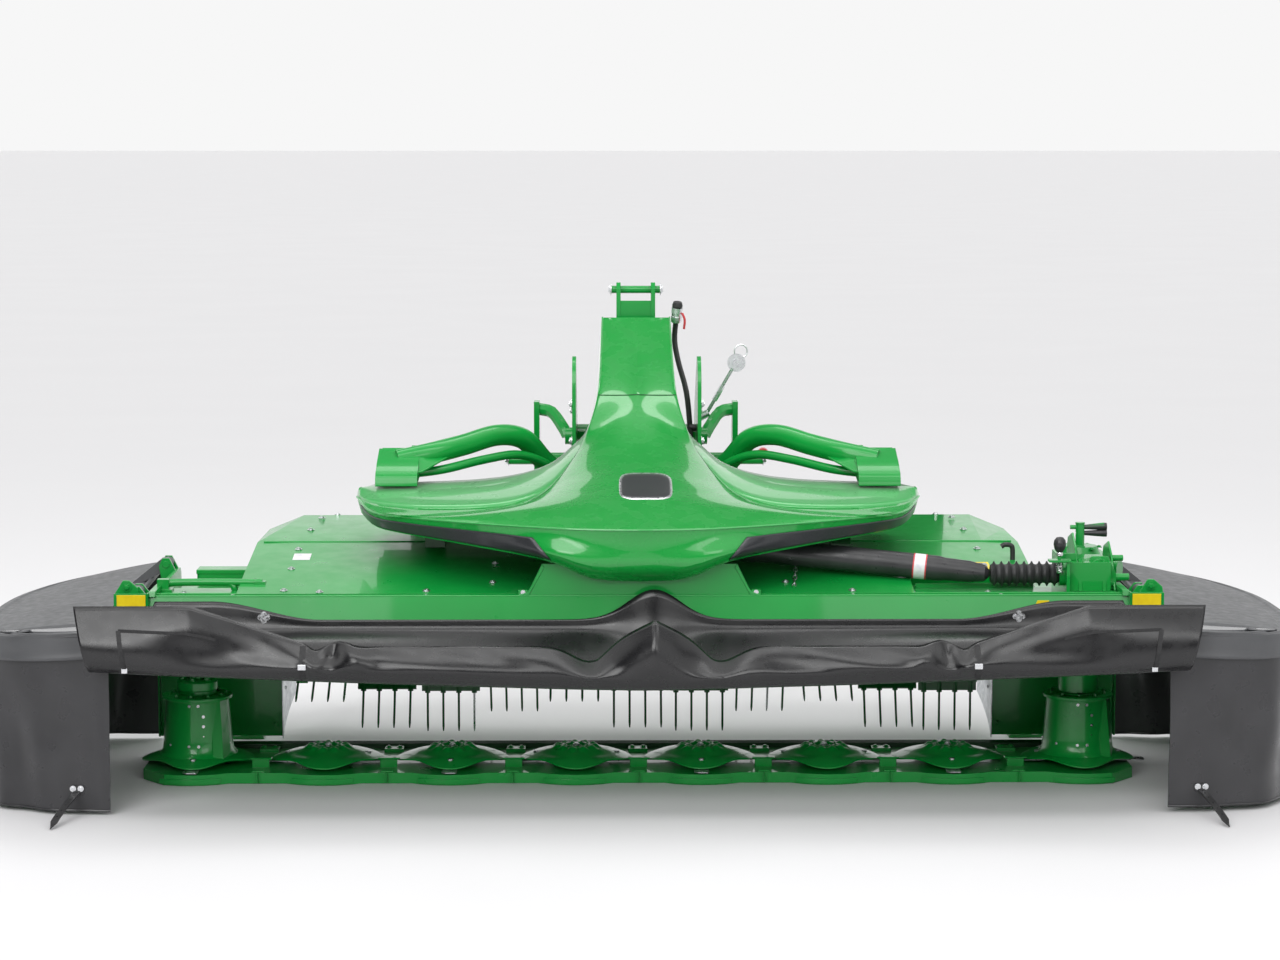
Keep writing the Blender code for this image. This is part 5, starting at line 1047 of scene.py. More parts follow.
for tag, side in (("left", -1), ("right", 1)):
    form = bmesh.new()
    edge = even_edge(110)
    shares = [i / 34 * 0.80 for i in range(34)] + [0.80 + i * 0.008 for i in range(25)]
    rows = []
    for t in shares:
        row = []
        for out, y in edge:
            a = GUARD_IN + (out - GUARD_IN) * t
            fade = min(1.0, (out - GUARD_IN) / 0.1)
            z = guard_height(a, y) + guard_relief(t, a, y) * fade
            row.append((side * (HINGE_X + a), y, z))
        rows.append(row)
    # Rolled over the rim and down its side, with a flange turned out at the foot.
    for drop, grow in ((0.0035, 0.0), (0.010, 0.0012), (0.020, 0.0014), (0.040, 0.0008),
                       (0.055, 0.0), (0.060, 0.0022), (0.070, 0.0022)):
        row = []
        for (out, y), (_, _, z) in zip(edge, rows[-1] if drop == 0.0035 else top_rim):
            bulge = 1.0 + grow / 0.45
            row.append((side * (HINGE_X + GUARD_IN + (out - GUARD_IN) * bulge),
                        -0.02 + (y + 0.02) * bulge, z - drop))
        if drop == 0.0035:
            top_rim = rows[-1]
        rows.append(row)
    verts = [[form.verts.new(p) for p in row] for row in rows]
    for a, b in zip(verts, verts[1:]):
        for i in range(len(a) - 1):
            try:
                form.faces.new((a[i], b[i], b[i + 1], a[i + 1]))
            except ValueError:
                pass
    bmesh.ops.remove_doubles(form, verts=form.verts, dist=2e-5)
    bmesh.ops.recalc_face_normals(form, faces=form.faces)
    form.normal_update()
    if sum(face.normal.z * face.calc_area() for face in form.faces) < 0:
        bmesh.ops.reverse_faces(form, faces=form.faces)
    guard = make(form, f"side_guard_{tag}_skin", f"guard_{tag}", grey_plastic, 50.0,
                 stands_for=(f"side_guard_{tag}",), turn_out=False)
    wall = guard.modifiers.new("wall", "SOLIDIFY")
    wall.thickness = 0.005
    wall.offset = -1.0
    inlay = bmesh.new()
    grid = []
    for i in range(29):
        row = []
        for k in range(9):
            share = i / 28
            y = -0.572 + 0.092 * k / 8
            far = 0.805 - 0.02 * k / 8
            edge_out = max(out for out, ey in edge if abs(ey - max(y, -0.594)) < 0.02)
            out = 0.118 + (GUARD_IN + (edge_out - GUARD_IN) * 0.90 - 0.118) * share
            a = (out - GUARD_IN) / (GUARD_OUT - GUARD_IN)
            yy = y + 0.060 * (share ** 2) * (1 - k / 8)
            row.append(inlay.verts.new((side * (HINGE_X + out), yy, guard_height(out, yy) + 0.0018)))
        grid.append(row)
    for a, b in zip(grid, grid[1:]):
        for k in range(8):
            inlay.faces.new((a[k], b[k], b[k + 1], a[k + 1]))
    bmesh.ops.recalc_face_normals(inlay, faces=inlay.faces)
    inlay.normal_update()
    if sum(f.normal.z for f in inlay.faces) < 0:
        bmesh.ops.reverse_faces(inlay, faces=inlay.faces)
    panel = make(inlay, f"side_guard_{tag}_inlay", f"guard_{tag}", smooth_grey,
                 turn_out=False)
    wall = panel.modifiers.new("wall", "SOLIDIFY")
    wall.thickness = 0.0050
    wall.offset = -1.0
    form = bmesh.new()
    lip = [(side * (HINGE_X + GUARD_IN + 0.003), y, guard_height(GUARD_IN, y) + 0.004)
           for y in [GUARD_FRONT + 0.02 + (GUARD_REAR - GUARD_FRONT - 0.04) * i / 30 for i in range(31)]]
    add_tube(form, lip, 0.0075, 14)
    for y in (-0.375, 0.240):
        out = GUARD_IN + 0.060
        skin_z = guard_height(out, y)
        ring = [(side * (HINGE_X - 0.004), HINGE_Z - 0.0115), (side * (HINGE_X + 0.006), HINGE_Z - 0.022),
                (side * (HINGE_X + out), skin_z - 0.012), (side * (HINGE_X + out), skin_z + 0.004),
                (side * (HINGE_X + 0.018), HINGE_Z + 0.014), (side * (HINGE_X + 0.006), HINGE_Z + 0.0175)]
        add_slab(form, ring, "Y", y - 0.025, y + 0.025)
        add_turned(form, [(0.0104, -0.025), (0.018, -0.025), (0.018, 0.025), (0.0104, 0.025),
                          (0.0104, -0.025)], (side * HINGE_X, y, HINGE_Z), (0, 1, 0), 32)
    make(form, f"side_guard_{tag}_hinge", f"guard_{tag}", grey_plastic, 40.0)
    bolts(f"side_guard_{tag}_bolts",
          [((side * (HINGE_X + out), y + dy, guard_height(out, y + dy) + 0.0045), (0, 0, 1))
           for y in (-0.375, 0.240) for out in (0.075,) for dy in (-0.014, 0.014)],
          f"guard_{tag}", 0.007, 0.004)


# ---- Side curtains --------------------------------------------------------------------------------
# Coated canvas hung inside the guard's rim down to just above the ground. It falls in long soft
# folds, its front edge is cut raw and a doubled hem is sewn along the foot.
def coated_cloth(name, colour, other, roughness, coat, weave=1500.0):
    """Coated woven canvas: fine weave under the coating, rubbed lighter in patches."""
    made, nodes, links, shader = new_material(name, colour, roughness)
    cut = nodes.new("ShaderNodeUVMap")
    cut.uv_map = "cut"
    spot = cut.outputs["UV"]
    tinted(nodes, links, shader, ranged(nodes, links, add_noise(nodes, links, spot, 7.0, 5.0), 0.0, 1.0),
           colour, other)
    links.new(ranged(nodes, links, add_noise(nodes, links, spot, 19.0, 5.0), roughness - 0.06,
                     roughness + 0.10), shader.inputs["Roughness"])
    threads = []
    for way in ("X", "Y"):
        wave = nodes.new("ShaderNodeTexWave")
        wave.bands_direction = way
        wave.inputs["Scale"].default_value = weave / 6.28
        wave.inputs["Distortion"].default_value = 0.6
        links.new(spot, wave.inputs["Vector"])
        threads.append(wave.outputs["Fac"])
    both = nodes.new("ShaderNodeMath")
    both.operation = "MAXIMUM"
    links.new(threads[0], both.inputs[0])
    links.new(threads[1], both.inputs[1])
    bumped(nodes, links, shader, both.outputs["Value"], 0.05, 0.0003)
    shader.inputs["Specular IOR Level"].default_value = 0.45
    shader.inputs["Coat Weight"].default_value = coat
    shader.inputs["Coat Roughness"].default_value = 0.22
    return made


side_canvas = coated_cloth("side_canvas", (0.026, 0.026, 0.028), (0.036, 0.036, 0.039), 0.30, 0.12)


def cloth(name, rows, body, finish, thick, widths, heights):
    """A sheet from rows of points, with its flat cut kept as a UV map in metres."""
    form = bmesh.new()
    cut = form.loops.layers.uv.new("cut")
    verts = [[form.verts.new(p) for p in row] for row in rows]
    for i in range(len(rows) - 1):
        for j in range(len(rows[0]) - 1):
            face = form.faces.new((verts[i][j], verts[i + 1][j], verts[i + 1][j + 1], verts[i][j + 1]))
            for loop, (a, b) in zip(face.loops, ((i, j), (i + 1, j), (i + 1, j + 1), (i, j + 1))):
                loop[cut].uv = (widths[b], heights[a])
    piece = make(form, name, body, finish, 80.0, turn_out=False)
    wall = piece.modifiers.new("wall", "SOLIDIFY")
    wall.thickness = thick
    wall.offset = 0.0
    return piece


CURTAIN_LOW = 0.012
for tag, side in (("left", -1), ("right", 1)):
    edge = [p for p in even_edge(150, 0.0096)]
    edge = [(max(out, GUARD_IN + 0.010), y) for out, y in edge]
    lengths = [0.0]
    for (a, ya), (b, yb) in zip(edge, edge[1:]):
        lengths.append(lengths[-1] + math.hypot(b - a, yb - ya))
    rows, heights = [], []
    steps = 44
    for r in range(steps + 1):
        v = r / steps
        heights.append(v * 0.47)
        row = []
        for i, (out, y) in enumerate(edge):
            s = lengths[i]
            top = guard_height(out, y) - 0.026
            z = top + (CURTAIN_LOW - top) * v
            ahead, behind = edge[min(i + 1, len(edge) - 1)], edge[max(i - 1, 0)]
            nx, ny = ahead[1] - behind[1], -(ahead[0] - behind[0])
            norm = math.hypot(nx, ny) or 1.0
            fold = (0.0085 * math.sin(17.0 * s + 0.9 * side + 1.6 * v)
                    + 0.0050 * math.sin(37.0 * s + 2.6 * v + side)
                    + 0.016 * (noise.noise(Vector((s * 4.0, v * 1.3, 4.0 * side))) - 0.1)
                    + 0.006 * noise.noise(Vector((s * 12.0, v * 3.0, 9.0 * side))))
            free = step(v, 0.02, 0.65)
            strap_grip = math.exp(-((out - 0.150) / 0.05) ** 2) if y < -0.3 else 0.0
            fold *= free * (1 - 0.85 * strap_grip)
            droop = 0.004 * math.sin(2.2 * s + side) * v
            row.append(Vector((side * (HINGE_X + out + fold * nx / norm), y + fold * ny / norm,
                               z + droop)))
        rows.append(row)
    curtain = cloth(f"side_curtain_{tag}_canvas", rows, f"guard_{tag}", side_canvas,
                    0.0035, lengths, heights)
    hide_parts(f"side_curtain_{tag}")
    # The sewn hem: a second thickness round the foot, and the raw edge's pale threads at the front.
    form = bmesh.new()
    add_tube(form, [rows[-1][i] + Vector((0, 0, 0.0035)) for i in range(0, 151, 2)], 0.0038, 8)
    hem = make(form, f"side_curtain_{tag}_hem", f"guard_{tag}", side_canvas)
    hem.data.uv_layers.new(name="cut")


# ---- Corner straps --------------------------------------------------------------------------------
# A perforated rubber strap with a pointed end, riveted low on each curtain's front corner. It drags
# forward along the ground and keeps the curtain down.
for tag, side in (("left", -1), ("right", 1)):
    low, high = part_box(f"guard_strap_{tag}")
    x = side * (HINGE_X + 0.150)
    face_y = high.y
    path = smooth([(x, face_y - 0.004, 0.084), (x, face_y - 0.008, 0.068),
                   (x + side * 0.006, face_y - 0.034, 0.060), (x + side * 0.020, face_y - 0.090, 0.044),
                   (x + side * 0.034, face_y - 0.150, 0.023), (x + side * 0.042, face_y - 0.205, 0.005)], 10)
    form = bmesh.new()
    verts = []
    count = len(path) - 1
    for i, point in enumerate(path):
        ahead = (path[min(i + 1, count)] - path[max(i - 1, 0)]).normalized()
        across = Vector((1, 0, 0)) - ahead * ahead.x
        across.normalize()
        up = across.cross(ahead) * 0.0022
        half = 0.0098 * (1.0 if i < count - 6 else max(0.12, (count - i) / 6.0))
        verts.append([form.verts.new(point + across * half + up), form.verts.new(point - across * half + up),
                      form.verts.new(point - across * half - up), form.verts.new(point + across * half - up)])
    for a, b in zip(verts, verts[1:]):
        for k in range(4):
            form.faces.new((a[k], a[(k + 1) % 4], b[(k + 1) % 4], b[k]))
    form.faces.new(verts[0])
    form.faces.new(verts[-1])
    strap = make(form, f"corner_strap_{tag}", f"guard_{tag}", black_rubber, 40.0,
                 stands_for=(f"guard_strap_{tag}",))
    punches = bmesh.new()
    for i in range(14, count - 6, 5):
        ahead = (path[i + 1] - path[i - 1]).normalized()
        up = Vector((1, 0, 0)).cross(ahead).normalized() * 0.01
        add_rod(punches, path[i] - up, path[i] + up, 0.0026, sides=12)
    punch_mesh = bpy.data.meshes.new("punches")
    punches.to_mesh(punch_mesh)
    punches.free()
    punch = bpy.data.objects.new("punches", punch_mesh)
    bpy.context.scene.collection.objects.link(punch)
    holes = strap.modifiers.new("holes", "BOOLEAN")
    holes.operation = "DIFFERENCE"
    holes.solver = "EXACT"
    holes.object = punch
    bpy.context.view_layer.update()
    punched = bpy.data.meshes.new_from_object(
        strap.evaluated_get(bpy.context.evaluated_depsgraph_get()))
    strap.modifiers.remove(holes)
    strap.data = punched
    bpy.data.objects.remove(punch, do_unlink=True)
    bolts(f"corner_strap_{tag}_rivets",
          [((x + dx, face_y - 0.007, 0.077), (0, -1, 0)) for dx in (-0.011, 0.011)], f"guard_{tag}",
          0.0058, 0.005)


# ---- Front curtain --------------------------------------------------------------------------------
# One long sheet of coated canvas riveted to the front beam. It falls forward, and for work near
# people its loose half is folded up in front and buckled, so a round roll forms along the bottom.
# The middle is pinched into a pleat under the nose.
black_canvas = coated_cloth("black_coated_canvas", (0.006, 0.006, 0.007), (0.009, 0.009, 0.010),
                            0.27, 0.30, 1200.0)


def bell(x, middle, width):
    return math.exp(-((x - middle) / width) ** 2)


def apron_top(x):
    """Where the sheet is fixed on the beam: higher at the ends, arched up over the middle."""
    return 0.541 + 0.052 * step(abs(x), 0.92, 1.24) + 0.090 * bell(x, 0.042, 0.105)


def hem_height(x):
    """The folded-up front edge: straight at the ends, running down slantwise to a tuck, low between."""
    reach = abs(x)
    slope = 0.497 + (0.612 - 0.497) * min(1.0, max(0.0, (reach - 0.925) / 0.345))
    tuck = 0.014 * bell(reach, 0.845, 0.040) - 0.010 * bell(reach, 0.915, 0.022)
    sag = -0.044 * bell(abs(x - 0.042), 0.185, 0.070)
    peak = 0.078 * max(0.0, 1 - abs(x - 0.042) / 0.165) ** 1.15
    return slope + tuck + (sag + peak if reach < 0.5 else 0.0)


def roll_low(x):
    return 0.370 + 0.055 * (abs(x) / 1.6) ** 1.3


def creases(x, v):
    """Soft dents and pulls in the loose flap."""
    wave = noise.noise(Vector((x * 2.4, v * 1.2, 7.0))) * 0.010
    wave += noise.noise(Vector((x * 6.0 + v * 4, v * 2.0, 2.0))) * 0.004
    wave *= step(v, 0.30, 0.65) * (1 - 0.6 * step(abs(x), 1.22, 1.4))
    reach = abs(x)
    # The tuck beside the buckle: a bump and a sharp pinch running down from the hem.
    pinch = -0.030 * bell(reach, 0.862 + 0.03 * (1 - v), 0.026) * bell(v, 0.78, 0.24)
    pinch += 0.022 * bell(reach, 0.800, 0.040) * bell(v, 0.84, 0.24)
    pinch += 0.016 * bell(reach, 0.925, 0.030) * bell(v, 0.70, 0.30)
    # The slack below the slanting edge hangs in a long shallow hollow.
    hollow = -0.016 * bell(reach, 1.20 - 0.15 * (v - 0.5), 0.16) * bell(v, 0.62, 0.20)
    return wave + pinch + hollow


APRON_HALF, CURTAIN_HALF = 1.405, 1.600
columns = 420
xs = [-CURTAIN_HALF + 2 * CURTAIN_HALF * i / columns for i in range(columns + 1)]
column_points = []
for x in xs:
    low, hem, top = roll_low(x), hem_height(x), apron_top(x)
    arch = bell(x, 0.042, 0.105)
    if abs(x) <= APRON_HALF:
        lean = beam_face(top) - 0.0040
        fixed = [(lean - 0.040 * arch, top), (beam_face(0.510) - 0.0045 - 0.030 * arch, 0.510 + 0.01 * arch),
                 (-0.520 - 0.010 * arch, low + 0.085), (-0.588, low + 0.032), (-0.625, low + 0.006)]
    else:
        open_up = step(abs(x), APRON_HALF, 1.46)
        fixed = [(-0.612 + 0.150 * (1 - open_up), 0.572), (-0.613 + 0.130 * (1 - open_up), 0.510),
                 (-0.612 + 0.085 * (1 - open_up), low + 0.085), (-0.612 + 0.02 * (1 - open_up), low + 0.032),
                 (-0.628, low + 0.006)]
    pleat = max(0.0, 1 - abs(x - 0.042) / 0.15)
    ridge = 0.034 * pleat ** 1.7 - 0.016 * bell(abs(x - 0.042), 0.115, 0.050)
    rise = hem - low
    turned = [(-0.652, low), (-0.682, low + 0.010), (-0.7015, low + 0.034),
              (-0.7060 - ridge * 0.5, low + 0.36 * rise + 0.012), (-0.6900 - ridge, low + 0.70 * rise),
              (-0.6560 - ridge * 0.8, hem)]
    line = smooth([Vector((y, z)).to_3d() for y, z in fixed + turned], 5)
    column_points.append(line)
per_column = len(column_points[0])
rows, heights = [], []
for r in range(per_column):
    row = []
    v = max(0.0, (r - 25) / (per_column - 1 - 25))
    for x, line in zip(xs, column_points):
        y, z = line[r].x, line[r].y
        y -= creases(x, v) if r > 25 else 0.0
        y += 0.004 * noise.noise(Vector((x * 4.0, r * 0.12, 11.0))) * step(r, 4, 10)
        # The sheet's ends are cut on the slant, in towards the roll.
        slant = max(0.0, (abs(x) - 1.30) / 0.30) * (0.046 * min(1.0, max(0.0, (0.61 - z) / 0.19))
                                                    - (0.020 * bell(r, 6, 5) if r < 18 else 0.0))
        row.append(Vector((x - math.copysign(slant, x), max(y, -0.765), z)))
    rows.append(row)
    heights.append(r * 0.0135)
front = cloth("front_curtain_canvas", rows, "frame", black_canvas, 0.0030,
              [x + 1.6 for x in xs], heights)
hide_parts("front_curtain")


def on_flap(x, v):
    """A point on the folded-up flap, v from the roll (0) to the hem (1)."""
    column = min(range(len(xs)), key=lambda i: abs(xs[i] - x))
    r = 25 + v * (per_column - 1 - 25)
    k = min(int(r), per_column - 2)
    return rows[k][column].lerp(rows[k + 1][column], r - k)


def webbing(form, places, half=0.011, lift=0.0035, sideways=(1, 0, 0)):
    """A flat tape laid along places on the flap."""
    verts = []
    for point in places:
        across = Vector(sideways) * half
        verts.append([form.verts.new(point + across + Vector((0, -lift, 0))),
                      form.verts.new(point - across + Vector((0, -lift, 0))),
                      form.verts.new(point - across + Vector((0, -lift - 0.0016, 0))),
                      form.verts.new(point + across + Vector((0, -lift - 0.0016, 0)))])
    for a, b in zip(verts, verts[1:]):
        for k in range(4):
            form.faces.new((a[k], a[(k + 1) % 4], b[(k + 1) % 4], b[k]))
    form.faces.new(verts[0])
    form.faces.new(verts[-1])


web_black, nodes, links, shader = new_material("black_webbing", (0.010, 0.010, 0.011), 0.65)
spot = nodes.new("ShaderNodeTexCoord").outputs["Object"]
tinted(nodes, links, shader, ranged(nodes, links, add_noise(nodes, links, spot, 120.0), 0.0, 1.0),
       (0.008, 0.008, 0.009), (0.020, 0.020, 0.021))
bumped(nodes, links, shader, add_noise(nodes, links, spot, 900.0), 0.4, 0.0005)
form = bmesh.new()
for side in (-1, 1):
    webbing(form, [on_flap(side * 1.478, v) for v in (0.08, 0.2, 0.35, 0.5, 0.65, 0.78)], 0.0062)
    webbing(form, [on_flap(side * x, 0.78 - 0.10 * (1.478 - x)) for x in
                   (1.478, 1.44, 1.40, 1.36, 1.32, 1.28, 1.24, 1.20)], 0.0042, 0.0035, (0, 0, 1))
    webbing(form, [on_flap(side * 0.950, v) for v in (0.12, 0.25, 0.4, 0.6, 0.8, 0.97)], 0.0085)
straps = make(form, "curtain_straps", "frame", web_black)
form = bmesh.new()
for side in (-1, 1):
    for x, v, half in ((1.478, 0.26, 0.0085), (0.950, 0.58, 0.0115)):
        point = on_flap(side * x, v)
        add_box(form, point + Vector((-half, -0.0085, -0.008)), point + Vector((half, -0.0045, 0.008)))
make(form, "curtain_buckles", "frame", bare_steel, bevel=0.0015)
bolts("curtain_rivets",
      [((x + dx, beam_face(0.550) - 0.0078, 0.5485 + dz), (0, -1, 0.1)) for x in (-1.086, 1.098)
       for dx, dz in ((0, 0.009), (0, -0.009), (0.010, 0), (-0.010, 0))], radius=0.0055, height=0.003)


# ---- Nose cowl ------------------------------------------------------------------------------------
# A green moulded cover: a flat neck that flares in one hollow sweep into two wings, with a crisp
# edge round the face and a round chin tucked under. Dark accent panels fill the undercut.
SPINE = ((0, 0.860, 1.338), (0, 0.410, 1.120), (0, 0.150, 1.000), (0, -0.100, 0.925),
         (0, -0.320, 0.872), (0, -0.540, 0.812))
CREASE = ((0.110, 0.860, 1.338), (0.122, 0.410, 1.120), (0.165, 0.290, 0.985),
          (0.207, 0.180, 0.925), (0.268, 0.000, 0.875), (0.352, -0.120, 0.846),
          (0.460, -0.165, 0.832), (0.660, -0.145, 0.828), (0.800, -0.045, 0.832),
          (0.856, 0.060, 0.840))
LIP = ((0, -0.540, 0.812), (0.160, -0.522, 0.812), (0.310, -0.466, 0.812),
       (0.520, -0.350, 0.812), (0.700, -0.215, 0.812), (0.800, -0.100, 0.814),
       (0.856, 0.060, 0.840))
REAR_EDGE = ((0.118, 0.950, 1.255), (0.132, 0.650, 1.100), (0.160, 0.530, 1.000),
             (0.215, 0.420, 0.950), (0.275, 0.330, 0.912), (0.370, 0.260, 0.888),
             (0.500, 0.215, 0.876), (0.680, 0.195, 0.870), (0.790, 0.175, 0.868),
             (0.846, 0.110, 0.862))
FOOT_EDGE = ((0, -0.452, 0.652), (0.140, -0.462, 0.662), (0.262, -0.462, 0.712),
             (0.500, -0.352, 0.745), (0.690, -0.212, 0.760), (0.786, -0.098, 0.768),
             (0.842, 0.060, 0.790))


def sample(points, count):
    """Evenly spaced points along a smooth path."""
    path = smooth(points, 24)
    lengths = [0.0]
    for a, b in zip(path, path[1:]):
        lengths.append(lengths[-1] + (b - a).length)
    found, k = [], 0
    for i in range(count + 1):
        goal = lengths[-1] * i / count
        while k < len(path) - 2 and lengths[k + 1] < goal:
            k += 1
        found.append(path[k].lerp(path[k + 1], (goal - lengths[k]) / (lengths[k + 1] - lengths[k])))
    return found


across, along = 24, 72
spine, crease, rear = sample(SPINE, along), sample(CREASE, along), sample(REAR_EDGE, along)
lip, foot = sample(LIP, across), sample(FOOT_EDGE, across)
neck = [Vector(SPINE[0]).lerp(Vector(CREASE[0]), j / across) for j in range(across + 1)]
face_rows = []
for i in range(along + 1):
    u = i / along
    row = []
    for j in range(across + 1):
        v = j / across
        corners = ((spine[0] * (1 - v) + crease[0] * v) * (1 - u)
                   + (spine[-1] * (1 - v) + crease[-1] * v) * u)
        row.append(spine[i] * (1 - v) + crease[i] * v + neck[j] * (1 - u) + lip[j] * u - corners)
    face_rows.append(row)


def flipped(point, side):
    return Vector((point.x * side, point.y, point.z))


def chin_out(t, share):
    """How far the undercut bulges: upright under the lip, then folding round under the nose."""
    return 0.043 * math.sin(math.pi * t ** 1.9) * (1 - step(share, 0.20, 0.42))


def undercut(j, t, side):
    """A point of the surface below the lip."""
    point = lip[j].lerp(foot[j], t)
    return flipped(point - Vector((0, chin_out(t, j / across), 0)), side)


def wing_top(i, t, side):
    """A point of the surface behind the crease, gently crowned over the wings."""
    crown = 0.012 * math.sin(math.pi * t) * step(i / along, 0.25, 0.5)
    return flipped(crease[i].lerp(rear[i], t) + Vector((0, 0, crown)), side)


def cowl_shell(parts):
    """The named surfaces of the cowl, on both sides, joined up and facing outwards."""
    form = bmesh.new()
    for side in (1, -1):
        grids = {"face": [[flipped(p, side) for p in row] for row in face_rows],
                 "top": [[wing_top(i, k / 8, side) for k in range(9)] for i in range(along + 1)],
                 "low": [[undercut(j, k / 10, side) for k in range(11)] for j in range(across + 1)],
                 "tip": [[wing_top(along, min(k, 8) / 8, side) for k in range(11)],
                         [undercut(across, k / 10, side) for k in range(11)]]}
        for part in parts:
            grid = [[form.verts.new(p) for p in row] for row in grids[part]]
            for a, b in zip(grid, grid[1:]):
                for i in range(len(a) - 1):
                    form.faces.new((a[i], b[i], b[i + 1], a[i + 1]))
    bmesh.ops.remove_doubles(form, verts=form.verts, dist=1e-5)
    bmesh.ops.recalc_face_normals(form, faces=form.faces)
    form.normal_update()
    if sum(f.normal.dot(f.calc_center_median() - Vector((0, 0.3, 0.5))) * f.calc_area()
           for f in form.faces) < 0:
        bmesh.ops.reverse_faces(form, faces=form.faces)
    return form


form = cowl_shell(("face", "top", "low", "tip"))
cowl_tree = BVHTree.FromBMesh(form)
form.free()
form = cowl_shell(("face", "low", "tip"))
cowl_paint = painted("green_cowl_plastic", (0.008, 0.286, 0.041), (0.008, 0.276, 0.040), 0.26, 0.75, 0.0)
COWL_WALL = 0.005
cowl = make(form, "nose_cowl", "frame", cowl_paint, 30.0, stands_for=("cowl",),
            turn_out=False)
wall = cowl.modifiers.new("wall", "SOLIDIFY")
wall.thickness = COWL_WALL
wall.offset = -1.0
rounding = cowl.modifiers.new("edges", "BEVEL")
rounding.width = 0.0035
rounding.segments = 3
rounding.limit_method = "ANGLE"
rounding.angle_limit = math.radians(24)

# The tops behind the crease are a moulding of their own, painted a paler green with a sheen: a painted
# reflection standing in for the pale light the wing tops catch.
pale_sheen_paint = painted("green_cowl_top_painted_sheen", (0.020, 0.320, 0.060), (0.035, 0.345, 0.075), 0.30, 0.9, 0.0)
shader = pale_sheen_paint.node_tree.nodes["Principled BSDF"]
shader.inputs["Sheen Weight"].default_value = 0.55
shader.inputs["Sheen Roughness"].default_value = 0.35
form = cowl_shell(("top",))
tops = make(form, "cowl_top_skins", "frame", pale_sheen_paint, 40.0, turn_out=False)
wall = tops.modifiers.new("wall", "SOLIDIFY")
wall.thickness = COWL_WALL
wall.offset = -1.0

# Crisp moulded bead along the face's edge and the lip, in the same paler sheen paint, so it shows as a
# painted highlight line.
form = bmesh.new()
for side in (1, -1):
    add_tube(form, [flipped(p, side) + Vector((0, -0.0006, 0.0006)) for p in crease[:-12]], 0.0028, 10)
full_lip = [flipped(p, -1) for p in reversed(lip)] + lip[1:]
add_tube(form, [p + Vector((0, -0.0006, 0)) for p in full_lip], 0.0028, 10)
make(form, "cowl_edge_bead", "frame", pale_sheen_paint)

form = bmesh.new()
seam = [cowl_tree.ray_cast(Vector((0.1215 * (k / 12 - 1), -2.0, 1.121)), Vector((0, 1, 0)))[0]
        for k in range(25)]
add_tube(form, [p + Vector((0, -0.0004, 0.0002)) for p in seam], 0.0018, 8)
make(form, "cowl_neck_seam", "frame", shield_paint)

accent, nodes, links, shader = new_material("anthracite_lacquer", (0.030, 0.032, 0.036), 0.32, 0.25)
spot = nodes.new("ShaderNodeTexCoord").outputs["Object"]
tinted(nodes, links, shader, ranged(nodes, links, add_noise(nodes, links, spot, 300.0), 0.0, 1.0),
       (0.026, 0.028, 0.032), (0.040, 0.042, 0.046))
bumped(nodes, links, shader, add_noise(nodes, links, spot, 900.0), 0.12, 0.0003)
shader.inputs["Coat Weight"].default_value = 0.3
shader.inputs["Coat Roughness"].default_value = 0.12
form = bmesh.new()
for side in (1, -1):
    grid = []
    for r in range(9):
        t = 0.30 + 0.60 * r / 8
        inner_x = 0.308 - 0.052 * r / 8
        start = next(k for k in range(across) if undercut(k + 1, t, 1).x > inner_x)
        a, b = undercut(start, t, 1), undercut(start + 1, t, 1)
        start += (inner_x - a.x) / (b.x - a.x)
        row = []
        for c in range(41):
            j = start + (across - 0.8 - start) * c / 40
            k = min(int(j), across - 1)
            point = undercut(k, t, side).lerp(undercut(k + 1, t, side), j - k)
            row.append(form.verts.new(point + Vector((0, -0.0035, -0.0010))))
        grid.append(row)
    for a, b in zip(grid, grid[1:]):
        for i in range(len(a) - 1):
            form.faces.new((a[i], b[i], b[i + 1], a[i + 1]))
bmesh.ops.recalc_face_normals(form, faces=form.faces)
panels = make(form, "cowl_accent_panels", "frame", accent, 40.0, turn_out=False)
wall = panels.modifiers.new("wall", "SOLIDIFY")
wall.thickness = 0.0030
wall.offset = 0.0
bolts("cowl_accent_pins", [((side * x, y, z), (0, -1, -0.3)) for side in (-1, 1)
                           for x, y, z in ((0.268, -0.4720, 0.733),)], radius=0.0036, height=0.003)

# The blank badge: a plain rounded plate in a thin bright frame, glued to the face.
for name, half_x, half_z, lift, finish in (("badge_frame", 0.079, 0.0575, 0.0015, bare_steel),
                                           ("badge_plate", 0.0735, 0.0520, 0.0026, accent)):
    form = bmesh.new()
    rings = []
    centre = Vector((0.020, -0.200, 0.0))
    for share in (0.0, 0.25, 0.5, 0.75, 0.95, 1.0):
        ring = []
        for i in range(48):
            a = math.tau * i / 48
            c, s = math.cos(a), math.sin(a)
            px = centre.x + half_x * share * math.copysign(abs(c) ** 0.45, c)
            pz = half_z * share * math.copysign(abs(s) ** 0.45, s)
            start = Vector((px, centre.y + pz * 1.95, 2.0))
            hit = cowl_tree.ray_cast(start, Vector((0, 0, -1)))[0]
            drop = 0.0012 if share == 1.0 else 0.0
            ring.append(hit + Vector((0, -0.3, 0.95)) * (lift - drop))
        rings.append(ring)
    middle = form.verts.new(sum(rings[0], Vector()) / 48)
    made = [[form.verts.new(p) for p in ring] for ring in rings[1:]]
    for i in range(48):
        form.faces.new((middle, made[0][i], made[0][(i + 1) % 48]))
    for a, b in zip(made, made[1:]):
        for i in range(48):
            form.faces.new((a[i], b[i], b[(i + 1) % 48], a[(i + 1) % 48]))
    bmesh.ops.recalc_face_normals(form, faces=form.faces)
    form.normal_update()
    if sum(f.normal.z for f in form.faces) < 0:
        bmesh.ops.reverse_faces(form, faces=form.faces)
    badge = make(form, name, "frame", finish, 30.0, turn_out=False)
    wall = badge.modifiers.new("wall", "SOLIDIFY")
    wall.thickness = 0.0014
    wall.offset = -1.0


